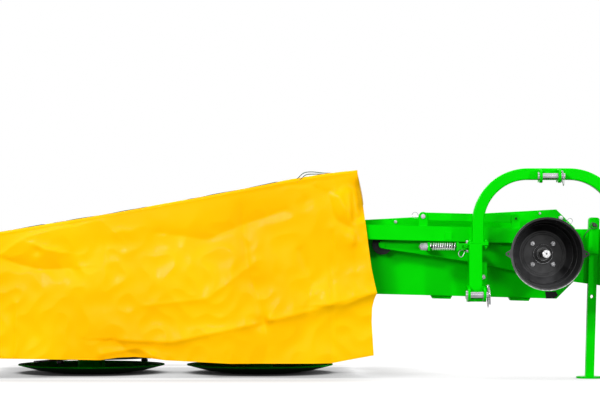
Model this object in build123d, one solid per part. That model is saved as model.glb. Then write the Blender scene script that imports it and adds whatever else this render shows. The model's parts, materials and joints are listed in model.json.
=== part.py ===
from build123d import *
import math
import os

# Side-mounted drum mower for a tractor's three-point hitch, two drums, parked on its stand.
# Sizes are in millimetres. While the model is drawn, X = 0 is the middle of the hitch frame,
# Y = 0 the axis of the hitch pins and Z = 0 the ground. The drums lie towards -X, the rear is +Y.

# Hitch frame
PTO_HEIGHT = 546
PTO_X = -16
LOWER_PIN_HEIGHT = 371
MAST_HEIGHT = 510
ARCH_HALF_WIDTH = 305
ARCH_TUBE = 50
ARCH_TUBE_WALL = 5
ARCH_CORNER = 6
ARCH_BEND_RADIUS = 215
ARCH_TOP_ABOVE_PIN = 11
ARCH_Y = 80
FLANGE_BELOW_BEND = 86
FLANGE_THICKNESS = 8
FLANGE_WIDTH = 88
LEG_X = 316
LEG_WIDTH = 56
LEG_DEPTH = 50
LEG_ABOVE_PIN = 15
LOWER_EAR_THICKNESS = 11
LOWER_EAR_RADIUS = 31
LOWER_EAR_TOP_RISE = 37
LOWER_PIN_RADIUS = 14
LOWER_PIN_CAP_RADIUS = 20
LOWER_PIN_CAP_THICKNESS = 9
LOWER_PIN_OVERHANG = 16
TOP_EAR_GAP = 68
TOP_EAR_THICKNESS = 12
TOP_EAR_RADIUS = 29
TOP_PIN_RADIUS = 12.5
TOP_PIN_HEAD_RADIUS = 17
TOP_PIN_HEAD_THICKNESS = 7
TOP_PIN_OVERHANG = 18
SIDE_PLATE_WIDTH = 24
SIDE_PLATE_THICKNESS = 6
SIDE_PLATE_HEIGHT = 83
SIDE_PLATE_DROP = 72
PIN_CLEARANCE = 0.1

# Kingpin on the stand's side, about which the mower swings back
KINGPIN_Y = 180
KINGPIN_RADIUS = 20
KINGPIN_BRACKET_THICKNESS = 12
KINGPIN_BRACKET_REACH = 35
KINGPIN_TUBE_RADIUS = 30
KINGPIN_TUBE_BOTTOM = 422
KINGPIN_TUBE_TOP = 641
KINGPIN_HEAD = 6
HINGE_WEB_THICKNESS = 10
HINGE_WEB_INSET = 18
RUNNING_CLEARANCE = 0.05
END_CLEARANCE = 0.3

# Main frame: tapered plate, shaft housing and guard
PLATE_Y = 266
PLATE_THICKNESS = 10
PLATE_RIGHT = 340
PLATE_EDGE_MARGIN = 15
PLATE_TIP_X = -712
PLATE_TIP_RADIUS = 17
# Corners of the plate's edges: X, and how far above or below the shaft
PLATE_UPPER_CORNERS = ((-170, 94), (-100, 110))
PLATE_LOWER_CORNERS = ((-325, -35), (-141, -72), (140, -124))
PLATE_FOOT_X = 250
SHAFT_RADIUS = 17.45
JOURNAL_RADIUS = 22
SHAFT_HOUSING_RADIUS = 40
SHAFT_HOUSING_FRONT = 156
SHAFT_FLANGE = 122
SHAFT_FLANGE_THICKNESS = 12
SHAFT_END_CHAMFER = 2
SPIGOT_LENGTH = 76
BELL_DEPTH = 196
BELL_RIM_RADIUS = 154
BELL_BACK_RADIUS = 104
BELL_SHOULDER_RADIUS = 135
BELL_SHOULDER_DEPTH = 28
BELL_WALL = 5
BELL_RIM_LIP = 4
BELL_EAR_REACH = 179
BELL_EAR_HOLE_AT = 168
BELL_EAR_HOLE_RADIUS = 5
BELL_EAR_HALF_HEIGHT = 22
BELL_EAR_THICKNESS = 5
BUMPER_RADIUS = 44
BUMPER_RISE = 41.5
BUMPER_LENGTH = 60
BUMPER_PIN_RADIUS = 16

# Breakaway latch: fork, pin and spring on a rod
LATCH_Y = 150
LATCH_RISE = 32.5
LATCH_PIN_X = -343
LATCH_PIN_RADIUS = 8
LATCH_PIN_HEAD_RADIUS = 13
LATCH_LUG_THICKNESS = 8
LATCH_LUG_HALF_WIDTH = 19
LATCH_LUG_REACH = 12
LATCH_FORK_LENGTH = 40
LATCH_FORK_WEB = 12
LATCH_FORK_HALF_DEPTH = 15
LATCH_TINE = 8
LATCH_TINE_CLEARANCE = 2
LATCH_ROD_RADIUS = 6.5
LATCH_END_THICKNESS = 10
LATCH_END_DEPTH = 34
LATCH_END_HEIGHT = 38
SPRING_LENGTH = 116
SPRING_RADIUS = 17.5
SPRING_BORE_RADIUS = 12.5
NUT_LENGTH = 30
NUT_HALF_FLATS = 13.5

# Parking stand
FOOT_X = 197
FOOT_RADIUS = 57.5
FOOT_THICKNESS = 8
STAND_LEAN = 1.8
STAND_LEG_SIZE = 37
STAND_LEG_WALL = 4
STAND_LEG_LENGTH = 690
STAND_SLEEVE_SIZE = 46
STAND_SLEEVE_BOTTOM = 546
STAND_SLEEVE_TOP = 707
STAND_SLIDE_CLEARANCE = 0.4
STAND_HOLE_RADIUS = 8
STAND_HOLES = (359, 674)

# Beam that carries the cutting unit
BEAM_FRONT = 200
BEAM_DEPTH = 60
BEAM_HEIGHT = 65
BEAM_WALL = 5
BEAM_LEFT = -1200
BEAM_RIGHT = 138
BEAM_OVER_HOUSING = 4.5
BEAM_SLOPE = 1.445
STAY_BRACKET_X = (-535, -127)
STAY_BRACKET_WIDTH = 40
STAY_BRACKET_RISE = 62
STAY_BRACKET_THICKNESS = 8
STAY_BAR_HEIGHT = 35
STAY_BAR_DEPTH = 22
STAY_BAR_LIFT = 25
STAY_PIN_RADIUS = 11
LINK_THICKNESS = 10
# Links from the beam to the belt box: left end, width and how far over the beam's middle
BEAM_LINKS = ((-1180, 70, -8), (-300, 70, 20))
STOP_LINK_WIDTH = 110

# Belt box between the drive shaft and the inner drum
BELT_BOX_FRONT = 360
BELT_BOX_DEPTH = 100
BELT_BOX_WALL = 4
BELT_BOX_END = 166
BELT_BOX_HALF_HEIGHT = 199
BELT_BOX_CHAMFER = 83
BELT_END_RADIUS = 145.5
BELT_END_DROP = 19
# Tabs under the belt box: X of each middle, and width
BELT_FEET = ((-444, 96), (-95.5, 97))
BELT_FOOT_DROP = 14
BELT_FOOT_SLANT = 8
BELT_FOOT_FRONT = 20
BELT_FOOT_DEPTH = 60

# Drums, saucers and knives
DRUM_Y = 720
INNER_DRUM_X = -1261
DRUM_SPACING = 776
DRUM_TOP_GAP = 10
DRUM_BOTTOM = 78
DRUM_TOP_RADIUS = 150
DRUM_BOTTOM_RADIUS = 172
DRUM_WALL = 6
DRUM_HUB_RADIUS = 70
DRUM_RIB_COUNT = 3
DRUM_RIB_HEIGHT = 14
DRUM_RIB_THICKNESS = 10
DRUM_SHAFT_RADIUS = 26
KNIFE_DISC_RADIUS = 290
KNIFE_DISC_THICKNESS = 8
KNIFE_COUNT = 3
KNIFE_TIP_RADIUS = 437
KNIFE_WIDTH = 46
KNIFE_THICKNESS = 5
KNIFE_BOLT_RADIUS = 11
KNIFE_BOLT_DROP = 14
KNIFE_OVERLAP = 46
SAUCER_RADIUS = 336
SAUCER_FLAT_RADIUS = 150
SAUCER_RIM_HEIGHT = 40
SAUCER_THICKNESS = 5
SAUCER_HUB_RADIUS = 62
SAUCER_HUB_TOP = 64

# Gear case over the drums
GEAR_CASE_DROP = 77
GEAR_CASE_HEIGHT = 132
GEAR_CASE_DEPTH = 180
GEAR_CASE_OVERHANG = 115
GEAR_CASE_WALL = 12
GEAR_COVER_THICKNESS = 8
GEARBOX_HALF_SIZE = 70

# Guard frame and apron
APRON_FRONT = 180
APRON_REAR = 1250
APRON_INNER_X = -826
APRON_OUTER_X = -2530
APRON_INNER_RISE = 366
APRON_OUTER_RISE = 72
APRON_BOTTOM = 66
APRON_THICKNESS = 4
APRON_SIDE_BOTTOM = 90
APRON_NOTCH_RISE = 219
APRON_NOTCH_BEHIND_BOX = 20
# Inner edge of the front panel: reach past the inner end, and how far below the roof
APRON_FLARE = ((26, 143), (89, 535), (70, 810))
# Lower edge of the front panel, from its lowest stretch outwards: X, and how far above it
APRON_LOWEST_REACH = -110
APRON_LOWER_EDGE = ((-1400, 0), (-1670, 16), (-1864, 26))
GUARD_RADIUS = 15
GUARD_POST_X = -868
GUARD_POST_RADIUS = 12


def block(x, y, z):
    """A box from its lowest and highest value along each axis."""
    size = (x[1] - x[0], y[1] - y[0], z[1] - z[0])
    middle = ((x[0] + x[1]) / 2, (y[0] + y[1]) / 2, (z[0] + z[1]) / 2)
    return Pos(*middle) * Box(*size)


def rod(start, end, radius):
    """A round bar between two points."""
    run = Vector(*end) - Vector(*start)
    return Solid.make_cylinder(radius, run.length, Plane(origin=start, z_dir=run))


def ring(start, end, radius, bore):
    """A tube between two points."""
    run = (Vector(*end) - Vector(*start)).normalized()
    through = rod(Vector(*start) - run, Vector(*end) + run, bore)
    return rod(start, end, radius) - through


def plate_across_y(outline, front, thickness):
    """A plate whose outline is drawn as seen from the front, in X and Z."""
    face = make_face(Polyline(*[(x, front, z) for x, z in outline], close=True))
    return extrude(face, amount=thickness, dir=(0, 1, 0))


def plate_across_x(outline, left, thickness):
    """A plate whose outline is drawn as seen from the side, in Y and Z."""
    face = make_face(Polyline(*[(left, y, z) for y, z in outline], close=True))
    return extrude(face, amount=thickness, dir=(1, 0, 0))


def plate_across_z(outline, bottom, thickness):
    """A plate whose outline is drawn as seen from above, in X and Y."""
    face = make_face(Polyline(*[(x, y, bottom) for x, y in outline], close=True))
    return extrude(face, amount=thickness, dir=(0, 0, 1))


def turned(profile, x, y):
    """A turned piece about the vertical line at x, y, from radius and height pairs."""
    face = make_face(Polyline(*[(radius, 0, height) for radius, height in profile], close=True))
    return Pos(x, y, 0) * revolve(face, Axis.Z)


def together(shapes):
    """One compound of every solid in a list of shapes."""
    return Compound([solid for shape in shapes for solid in shape.solids()])


# Places worked out from the sizes
TOP_PIN_HEIGHT = LOWER_PIN_HEIGHT + MAST_HEIGHT
ARCH_TOP = TOP_PIN_HEIGHT + ARCH_TOP_ABOVE_PIN
FLANGE_HEIGHT = ARCH_TOP - ARCH_BEND_RADIUS - FLANGE_BELOW_BEND
LEG_BOTTOM = LOWER_PIN_HEIGHT + LEG_ABOVE_PIN
BUMPER_HEIGHT = PTO_HEIGHT + BUMPER_RISE
BELT_END_HEIGHT = PTO_HEIGHT - BELT_END_DROP
GEAR_CASE_BOTTOM = BELT_END_HEIGHT - GEAR_CASE_DROP
APRON_TOP_INNER = PTO_HEIGHT + APRON_INNER_RISE
APRON_TOP_OUTER = PTO_HEIGHT + APRON_OUTER_RISE
APRON_NOTCH_HEIGHT = PTO_HEIGHT + APRON_NOTCH_RISE
ARCH_FRONT = ARCH_Y - ARCH_TUBE / 2
ARCH_REAR = ARCH_Y + ARCH_TUBE / 2
LEG_REAR = ARCH_Y + LEG_DEPTH / 2
PLATE_REAR = PLATE_Y + PLATE_THICKNESS
BEAM_REAR = BEAM_FRONT + BEAM_DEPTH
BEAM_Y = BEAM_FRONT + BEAM_DEPTH / 2
BEAM_HALF_SECTION = BEAM_HEIGHT / 2 / math.cos(math.radians(BEAM_SLOPE))
BEAM_MIDDLE_HEIGHT = PTO_HEIGHT + SHAFT_HOUSING_RADIUS + BEAM_OVER_HOUSING + BEAM_HALF_SECTION
BELT_BOX_REAR = BELT_BOX_FRONT + BELT_BOX_DEPTH
APRON_NOTCH_REAR = BELT_BOX_REAR + APRON_NOTCH_BEHIND_BOX
OUTER_DRUM_X = INNER_DRUM_X - DRUM_SPACING
STAND_Y = PLATE_Y - STAND_SLEEVE_SIZE / 2
LATCH_HEIGHT = PTO_HEIGHT + LATCH_RISE
LATCH_GAP = LATCH_LUG_THICKNESS + 2 * LATCH_TINE_CLEARANCE
DRUM_TOP = GEAR_CASE_BOTTOM - DRUM_TOP_GAP
GEAR_CASE_TOP = GEAR_CASE_BOTTOM + GEAR_CASE_HEIGHT
GEAR_COVER_TOP = GEAR_CASE_TOP + GEAR_COVER_THICKNESS
APRON_SLOPE = (APRON_TOP_INNER - APRON_TOP_OUTER) / (APRON_INNER_X - APRON_OUTER_X)


def beam_height(x):
    """Height of the beam's centre line at x."""
    return BEAM_MIDDLE_HEIGHT - x * math.tan(math.radians(BEAM_SLOPE))


def belt_box_edge(x, side):
    """Height of the belt box's upper (side 1) or lower (side -1) edge at x."""
    wide_x = PTO_X + BELT_BOX_END - BELT_BOX_CHAMFER
    wide = PTO_HEIGHT + side * BELT_BOX_HALF_HEIGHT
    narrow = BELT_END_HEIGHT + side * BELT_END_RADIUS
    return narrow + (wide - narrow) * (x - INNER_DRUM_X) / (wide_x - INNER_DRUM_X)


def apron_top(x):
    """Height of the apron's upper face at x."""
    return APRON_TOP_INNER - (APRON_INNER_X - x) * APRON_SLOPE


def guard_height(x):
    """Height of the guard tubes' centre line at x, just under the apron."""
    drop = APRON_THICKNESS + (GUARD_RADIUS + END_CLEARANCE) * math.hypot(1, APRON_SLOPE)
    return apron_top(x) - drop


def headstock_arch():
    """Bent square tube with a flange at each foot."""
    foot = FLANGE_HEIGHT + FLANGE_THICKNESS
    half = ARCH_HALF_WIDTH
    corners = [(-half, foot), (-half, ARCH_TOP), (half, ARCH_TOP), (half, foot)]
    path = FilletPolyline(*[(x, ARCH_Y, z) for x, z in corners], radius=ARCH_BEND_RADIUS)
    start = Plane(origin=(-half, ARCH_Y, foot), z_dir=(0, 0, 1))
    outside = sweep(start * RectangleRounded(ARCH_TUBE, ARCH_TUBE, ARCH_CORNER), path=path)
    hollow = ARCH_TUBE - 2 * ARCH_TUBE_WALL
    inside = sweep(start * Rectangle(hollow, hollow), path=path)
    arch = outside - inside
    for side in (-1, 1):
        arch += flange(side, FLANGE_HEIGHT)
    return arch


def flange(side, bottom):
    """One bolting plate at the joint between arch and leg."""
    plate = Box(FLANGE_WIDTH, LEG_DEPTH, FLANGE_THICKNESS)
    return Pos(side * ARCH_HALF_WIDTH, ARCH_Y, bottom + FLANGE_THICKNESS / 2) * plate


def headstock_leg(side):
    """Lower leg under the arch, with its own flange."""
    top = FLANGE_HEIGHT - FLANGE_THICKNESS
    across = (side * LEG_X - LEG_WIDTH / 2, side * LEG_X + LEG_WIDTH / 2)
    along = (ARCH_Y - LEG_DEPTH / 2, ARCH_Y + LEG_DEPTH / 2)
    return block(across, along, (LEG_BOTTOM, top)) + flange(side, top)


def ear(outline, left, thickness, height, radius, pin_radius):
    """A hitch ear with a round nose about its pin hole."""
    right = left + thickness
    plate = plate_across_x(outline, left, thickness) + rod((left, 0, height), (right, 0, height), radius)
    return plate - rod((left - 1, 0, height), (right + 1, 0, height), pin_radius + PIN_CLEARANCE)


def lower_ears():
    """Two hitch ears on each leg, bored for the lower pin."""
    low = LOWER_PIN_HEIGHT - LOWER_EAR_RADIUS
    high = LOWER_PIN_HEIGHT + LOWER_EAR_TOP_RISE
    outline = [(0, low), (ARCH_Y, low), (LEG_REAR, LEG_BOTTOM), (LEG_REAR, high), (ARCH_FRONT, high),
               (0, LOWER_PIN_HEIGHT + LOWER_EAR_RADIUS)]
    ears = []
    for side in (-1, 1):
        for left in (side * LEG_X - LEG_WIDTH / 2 - LOWER_EAR_THICKNESS, side * LEG_X + LEG_WIDTH / 2):
            sizes = (LOWER_PIN_HEIGHT, LOWER_EAR_RADIUS, LOWER_PIN_RADIUS)
            ears.append(ear(outline, left, LOWER_EAR_THICKNESS, *sizes))
    return together(ears)


def lower_pins():
    """A headed pin through each pair of lower ears."""
    pins = []
    for side in (-1, 1):
        outside = side * (LEG_X + LEG_WIDTH / 2 + LOWER_EAR_THICKNESS)
        inside = side * (LEG_X - LEG_WIDTH / 2 - LOWER_EAR_THICKNESS - LOWER_PIN_OVERHANG)
        cap = outside + side * LOWER_PIN_CAP_THICKNESS
        seat = (outside, 0, LOWER_PIN_HEIGHT)
        pin = rod(seat, (inside, 0, LOWER_PIN_HEIGHT), LOWER_PIN_RADIUS)
        pins.append(pin + rod(seat, (cap, 0, LOWER_PIN_HEIGHT), LOWER_PIN_CAP_RADIUS))
    return together(pins)


def top_ears():
    """Two ears on the arch for the top link."""
    low = TOP_PIN_HEIGHT - TOP_EAR_RADIUS
    high = TOP_PIN_HEIGHT + TOP_EAR_RADIUS
    outline = [(0, low), (ARCH_FRONT, ARCH_TOP - ARCH_TUBE / 2), (ARCH_FRONT, high), (0, high)]
    ears = []
    for left in (-TOP_EAR_GAP / 2 - TOP_EAR_THICKNESS, TOP_EAR_GAP / 2):
        ears.append(ear(outline, left, TOP_EAR_THICKNESS, TOP_PIN_HEIGHT, TOP_EAR_RADIUS, TOP_PIN_RADIUS))
    return together(ears)


def top_pin():
    """Headed pin across the top ears."""
    outside = TOP_EAR_GAP / 2 + TOP_EAR_THICKNESS
    head = -outside - TOP_PIN_HEAD_THICKNESS
    pin = rod((-outside, 0, TOP_PIN_HEIGHT), (outside + TOP_PIN_OVERHANG, 0, TOP_PIN_HEIGHT), TOP_PIN_RADIUS)
    return pin + rod((head, 0, TOP_PIN_HEIGHT), (-outside, 0, TOP_PIN_HEIGHT), TOP_PIN_HEAD_RADIUS)


def side_plate():
    """Small plate on the inner face of the leg on the drums' side."""
    left = -LEG_X + LEG_WIDTH / 2
    top = FLANGE_HEIGHT - FLANGE_THICKNESS - SIDE_PLATE_DROP
    y = (LEG_REAR - SIDE_PLATE_THICKNESS, LEG_REAR)
    return block((left, left + SIDE_PLATE_WIDTH), y, (top - SIDE_PLATE_HEIGHT, top))


def kingpin():
    """Vertical pin through both brackets, with a head on top."""
    bottom = KINGPIN_TUBE_BOTTOM - KINGPIN_BRACKET_THICKNESS - KINGPIN_HEAD
    top = KINGPIN_TUBE_TOP + KINGPIN_BRACKET_THICKNESS
    pin = rod((LEG_X, KINGPIN_Y, bottom), (LEG_X, KINGPIN_Y, top), KINGPIN_RADIUS)
    return pin + rod((LEG_X, KINGPIN_Y, top), (LEG_X, KINGPIN_Y, top + KINGPIN_HEAD), KINGPIN_TUBE_RADIUS)


def kingpin_brackets():
    """Plates behind the leg that hold the kingpin above and below the hinge tube."""
    brackets = []
    below = KINGPIN_TUBE_BOTTOM - KINGPIN_BRACKET_THICKNESS
    for bottom, rear in ((below, LEG_REAR), (KINGPIN_TUBE_TOP, ARCH_REAR)):
        width = (LEG_X - KINGPIN_TUBE_RADIUS, LEG_X + KINGPIN_TUBE_RADIUS)
        depth = (rear, KINGPIN_Y + KINGPIN_BRACKET_REACH)
        bracket = block(width, depth, (bottom, bottom + KINGPIN_BRACKET_THICKNESS))
        low = (LEG_X, KINGPIN_Y, bottom - 1)
        high = (LEG_X, KINGPIN_Y, bottom + KINGPIN_BRACKET_THICKNESS + 1)
        brackets.append(bracket - rod(low, high, KINGPIN_RADIUS + RUNNING_CLEARANCE))
    return together(brackets)


def latch_lug():
    """Plate behind the leg with a slot, open to the rear, for the latch pin."""
    bottom = LATCH_HEIGHT - LATCH_LUG_THICKNESS / 2
    right = -LEG_X + LEG_WIDTH / 4
    left = LATCH_PIN_X - LATCH_LUG_HALF_WIDTH
    rear = LATCH_Y + LATCH_LUG_REACH
    slot = LATCH_PIN_RADIUS + LATCH_TINE_CLEARANCE
    leg_left = -LEG_X - LEG_WIDTH / 2
    outline = [
        (leg_left, LEG_REAR),
        (right, LEG_REAR),
        (LATCH_PIN_X + LATCH_LUG_HALF_WIDTH, rear),
        (left, rear),
        (left, LATCH_Y - LATCH_LUG_HALF_WIDTH),
    ]
    through = (bottom - 1, bottom + LATCH_LUG_THICKNESS + 1)
    lug = plate_across_z(outline, bottom, LATCH_LUG_THICKNESS)
    lug -= rod((LATCH_PIN_X, LATCH_Y, through[0]), (LATCH_PIN_X, LATCH_Y, through[1]), slot)
    return lug - block((LATCH_PIN_X - slot, LATCH_PIN_X + slot), (LATCH_Y, rear + 1), through)


def arm_plate():
    """Tapered main plate, from the hinge tube to the bumper at its tip."""
    low = KINGPIN_TUBE_BOTTOM - PLATE_EDGE_MARGIN
    outline = [
        (PLATE_TIP_X, BUMPER_HEIGHT + PLATE_TIP_RADIUS),
        (PLATE_TIP_X, BUMPER_HEIGHT - PLATE_TIP_RADIUS),
        *[(x, PTO_HEIGHT + rise) for x, rise in PLATE_LOWER_CORNERS],
        (PLATE_FOOT_X, low),
        (PLATE_RIGHT, low),
        (PLATE_RIGHT, KINGPIN_TUBE_TOP + PLATE_EDGE_MARGIN),
        *[(x, PTO_HEIGHT + rise) for x, rise in reversed(PLATE_UPPER_CORNERS)],
    ]
    plate = plate_across_y(outline, PLATE_Y, PLATE_THICKNESS)
    tip = (PLATE_TIP_X, PLATE_Y, BUMPER_HEIGHT)
    plate += rod(tip, (PLATE_TIP_X, PLATE_REAR, BUMPER_HEIGHT), PLATE_TIP_RADIUS)
    hole = rod((PTO_X, PLATE_Y - 1, PTO_HEIGHT), (PTO_X, PLATE_REAR + 1, PTO_HEIGHT),
               JOURNAL_RADIUS + RUNNING_CLEARANCE)
    return plate - hole


def hinge_tube():
    """Tube round the kingpin with two webs to the main plate."""
    low = (LEG_X, KINGPIN_Y, KINGPIN_TUBE_BOTTOM + END_CLEARANCE)
    high = (LEG_X, KINGPIN_Y, KINGPIN_TUBE_TOP - END_CLEARANCE)
    tube = rod(low, high, KINGPIN_TUBE_RADIUS)
    left = LEG_X - KINGPIN_TUBE_RADIUS - HINGE_WEB_INSET * 2
    outline = [(LEG_X - KINGPIN_TUBE_RADIUS, KINGPIN_Y), (LEG_X + KINGPIN_TUBE_RADIUS, KINGPIN_Y),
               (PLATE_RIGHT, PLATE_Y), (left, PLATE_Y)]
    upper = KINGPIN_TUBE_TOP - HINGE_WEB_INSET - HINGE_WEB_THICKNESS
    for bottom in (KINGPIN_TUBE_BOTTOM + HINGE_WEB_INSET, upper):
        tube += plate_across_z(outline, bottom, HINGE_WEB_THICKNESS)
    bore = rod((LEG_X, KINGPIN_Y, 0), (LEG_X, KINGPIN_Y, ARCH_TOP), KINGPIN_RADIUS + RUNNING_CLEARANCE)
    return tube - bore


def shaft_housing():
    """Bearing housing of the drive shaft, bolted through the guard's back."""
    front = SHAFT_HOUSING_FRONT
    flange_rear = front + SHAFT_FLANGE_THICKNESS
    half = SHAFT_FLANGE / 2
    body = block((PTO_X - half, PTO_X + half), (front, flange_rear), (PTO_HEIGHT - half, PTO_HEIGHT + half))
    body += rod((PTO_X, front, PTO_HEIGHT), (PTO_X, PLATE_Y, PTO_HEIGHT), SHAFT_HOUSING_RADIUS)
    body += rod((PTO_X, front - 2 * BELL_WALL, PTO_HEIGHT), (PTO_X, front, PTO_HEIGHT), SHAFT_HOUSING_RADIUS)
    bore = rod((PTO_X, 0, PTO_HEIGHT), (PTO_X, PLATE_Y + 1, PTO_HEIGHT), JOURNAL_RADIUS + RUNNING_CLEARANCE)
    return body - bore


def pivot_spigot():
    """Round journal behind the plate, on which the cutting unit floats."""
    end = PLATE_REAR + SPIGOT_LENGTH
    return ring((PTO_X, PLATE_REAR, PTO_HEIGHT), (PTO_X, end, PTO_HEIGHT), SHAFT_HOUSING_RADIUS,
                JOURNAL_RADIUS + RUNNING_CLEARANCE)


def shaft_guard():
    """Bell-shaped guard round the shaft's stub, with a lug on each side of its rim."""
    back = SHAFT_HOUSING_FRONT
    rim = back - BELL_DEPTH
    profile = [
        (SHAFT_HOUSING_RADIUS + PIN_CLEARANCE, back),
        (BELL_BACK_RADIUS, back),
        (BELL_SHOULDER_RADIUS, back - BELL_SHOULDER_DEPTH),
        (BELL_RIM_RADIUS, rim + BELL_WALL),
        (BELL_RIM_RADIUS + BELL_RIM_LIP, rim + BELL_WALL),
        (BELL_RIM_RADIUS + BELL_RIM_LIP, rim),
        (BELL_RIM_RADIUS - BELL_WALL, rim),
        (BELL_SHOULDER_RADIUS - BELL_WALL, back - BELL_SHOULDER_DEPTH - BELL_WALL / 2),
        (BELL_BACK_RADIUS - BELL_WALL / 2, back - BELL_WALL),
        (SHAFT_HOUSING_RADIUS + PIN_CLEARANCE, back - BELL_WALL),
    ]
    face = make_face(Polyline(*[(radius, y, 0) for radius, y in profile], close=True))
    bell = revolve(face, Axis.Y)
    for side in (-1, 1):
        root = side * (BELL_RIM_RADIUS - BELL_WALL / 2)
        outline = [(root, -BELL_EAR_HALF_HEIGHT), (side * BELL_EAR_REACH, -BELL_EAR_HOLE_RADIUS),
                   (side * BELL_EAR_REACH, BELL_EAR_HOLE_RADIUS), (root, BELL_EAR_HALF_HEIGHT)]
        ear = plate_across_y(outline, rim, BELL_EAR_THICKNESS)
        hole = side * BELL_EAR_HOLE_AT
        bell += ear - rod((hole, rim - 1, 0), (hole, rim + BELL_EAR_THICKNESS + 1, 0), BELL_EAR_HOLE_RADIUS)
    return Pos(PTO_X, 0, PTO_HEIGHT) * bell


def drive_shaft():
    """Power take-off stub and shaft."""
    end = PLATE_REAR + SPIGOT_LENGTH
    shoulder = SHAFT_HOUSING_FRONT - 2 * BELL_WALL
    stub = Solid.make_cylinder(SHAFT_RADIUS, end, Plane(origin=(PTO_X, 0, PTO_HEIGHT), z_dir=(0, 1, 0)))
    stub = chamfer(stub.edges().sort_by(Axis.Y)[0], SHAFT_END_CHAMFER)
    return stub + rod((PTO_X, shoulder, PTO_HEIGHT), (PTO_X, end, PTO_HEIGHT), JOURNAL_RADIUS)


def bumper_pin():
    """Pin behind the plate's tip that carries the rubber bumper."""
    end = PLATE_REAR + BUMPER_LENGTH + 2 * END_CLEARANCE
    return rod((PLATE_TIP_X, PLATE_REAR, BUMPER_HEIGHT), (PLATE_TIP_X, end, BUMPER_HEIGHT), BUMPER_PIN_RADIUS)


def bumper_ring():
    """Rubber ring that the cutting unit rests on when it is lifted."""
    start = PLATE_REAR + END_CLEARANCE
    return ring((PLATE_TIP_X, start, BUMPER_HEIGHT), (PLATE_TIP_X, start + BUMPER_LENGTH, BUMPER_HEIGHT),
                BUMPER_RADIUS, BUMPER_PIN_RADIUS + END_CLEARANCE)


def latch_places():
    """X of the latch's faces from its pin leftwards: fork end, web, end plate, spring, bracket."""
    fork_end = LATCH_PIN_X + LATCH_PIN_RADIUS + LATCH_TINE / 2
    web = fork_end - LATCH_FORK_LENGTH
    plate = web - LATCH_FORK_WEB
    spring = plate - LATCH_END_THICKNESS
    bracket = spring - SPRING_LENGTH
    return fork_end, web, plate, spring, bracket


def latch_rod():
    """Fork, end plate, rod and nut of the latch in one piece."""
    fork_end, web, plate, spring, bracket = latch_places()
    y = (LATCH_Y - LATCH_FORK_HALF_DEPTH, LATCH_Y + LATCH_FORK_HALF_DEPTH)
    half = LATCH_GAP / 2 + LATCH_TINE
    fork = block((plate, fork_end), y, (LATCH_HEIGHT - half, LATCH_HEIGHT + half))
    gap = (LATCH_HEIGHT - LATCH_GAP / 2, LATCH_HEIGHT + LATCH_GAP / 2)
    fork -= block((web, fork_end + 1), (y[0] - 1, y[1] + 1), gap)
    low = (LATCH_PIN_X, LATCH_Y, LATCH_HEIGHT - half - 1)
    high = (LATCH_PIN_X, LATCH_Y, LATCH_HEIGHT + half + 1)
    fork -= rod(low, high, LATCH_PIN_RADIUS + RUNNING_CLEARANCE)
    fork += block((spring, plate), (LATCH_Y - LATCH_END_DEPTH / 2, LATCH_Y + LATCH_END_DEPTH / 2),
                  (LATCH_HEIGHT - LATCH_END_HEIGHT / 2, LATCH_HEIGHT + LATCH_END_HEIGHT / 2))
    left = bracket - LATCH_END_THICKNESS
    nut_left = left - NUT_LENGTH
    rod_end = (nut_left - LATCH_ROD_RADIUS, LATCH_Y, LATCH_HEIGHT)
    fork += rod(rod_end, (spring, LATCH_Y, LATCH_HEIGHT), LATCH_ROD_RADIUS)
    section = Plane(origin=(nut_left, LATCH_Y, LATCH_HEIGHT), z_dir=(1, 0, 0))
    nut = RegularPolygon(NUT_HALF_FLATS, 6, major_radius=False)
    return fork + extrude(section * nut, amount=NUT_LENGTH)


def latch_pin():
    """Vertical pin of the latch, with its head on top."""
    half = LATCH_GAP / 2 + LATCH_TINE
    high = LATCH_HEIGHT + half
    seat = (LATCH_PIN_X, LATCH_Y, high)
    pin = rod((LATCH_PIN_X, LATCH_Y, LATCH_HEIGHT - half - LATCH_TINE), seat, LATCH_PIN_RADIUS)
    return pin + rod(seat, (LATCH_PIN_X, LATCH_Y, high + LATCH_TINE), LATCH_PIN_HEAD_RADIUS)


def latch_spring():
    """The latch spring's outer form, round the rod."""
    _, _, _, right, left = latch_places()
    ends = [(x, LATCH_Y, LATCH_HEIGHT) for x in (left, right)]
    return ring(*ends, SPRING_RADIUS, SPRING_BORE_RADIUS)


def latch_bracket():
    """Plate from the main plate to the latch, with a hole for the rod."""
    right = latch_places()[4]
    left = right - LATCH_END_THICKNESS
    z = (LATCH_HEIGHT - LATCH_END_HEIGHT / 2, LATCH_HEIGHT + LATCH_END_HEIGHT / 2)
    plate = block((left, right), (LATCH_Y - LATCH_END_DEPTH / 2, PLATE_Y), z)
    return plate - rod((left - 1, LATCH_Y, LATCH_HEIGHT), (right + 1, LATCH_Y, LATCH_HEIGHT),
                       LATCH_ROD_RADIUS + PIN_CLEARANCE)


def stand_place():
    """The leaning line of the stand, from the middle of its foot."""
    return Location((FOOT_X, STAND_Y, 0), (0, STAND_LEAN, 0))


def stand_hole(height):
    """A pin hole across the stand at a height along it."""
    return rod((0, -STAND_SLEEVE_SIZE, height), (0, STAND_SLEEVE_SIZE, height), STAND_HOLE_RADIUS)


def stand_sleeve():
    """Square sleeve on the main plate, its front rounded at the top."""
    inside = STAND_LEG_SIZE + 2 * STAND_SLIDE_CLEARANCE
    half = STAND_SLEEVE_SIZE / 2
    sleeve = block((-half, half), (-half, half), (STAND_SLEEVE_BOTTOM, STAND_SLEEVE_TOP))
    corners = sleeve.edges().filter_by(Axis.Y).sort_by(Axis.Z)[-2:]
    sleeve = fillet(corners, half / 2)
    sleeve -= block((-inside / 2, inside / 2), (-inside / 2, inside / 2), (0, STAND_SLEEVE_TOP + 1))
    return stand_place() * (sleeve - stand_hole(STAND_HOLES[-1]))


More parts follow.
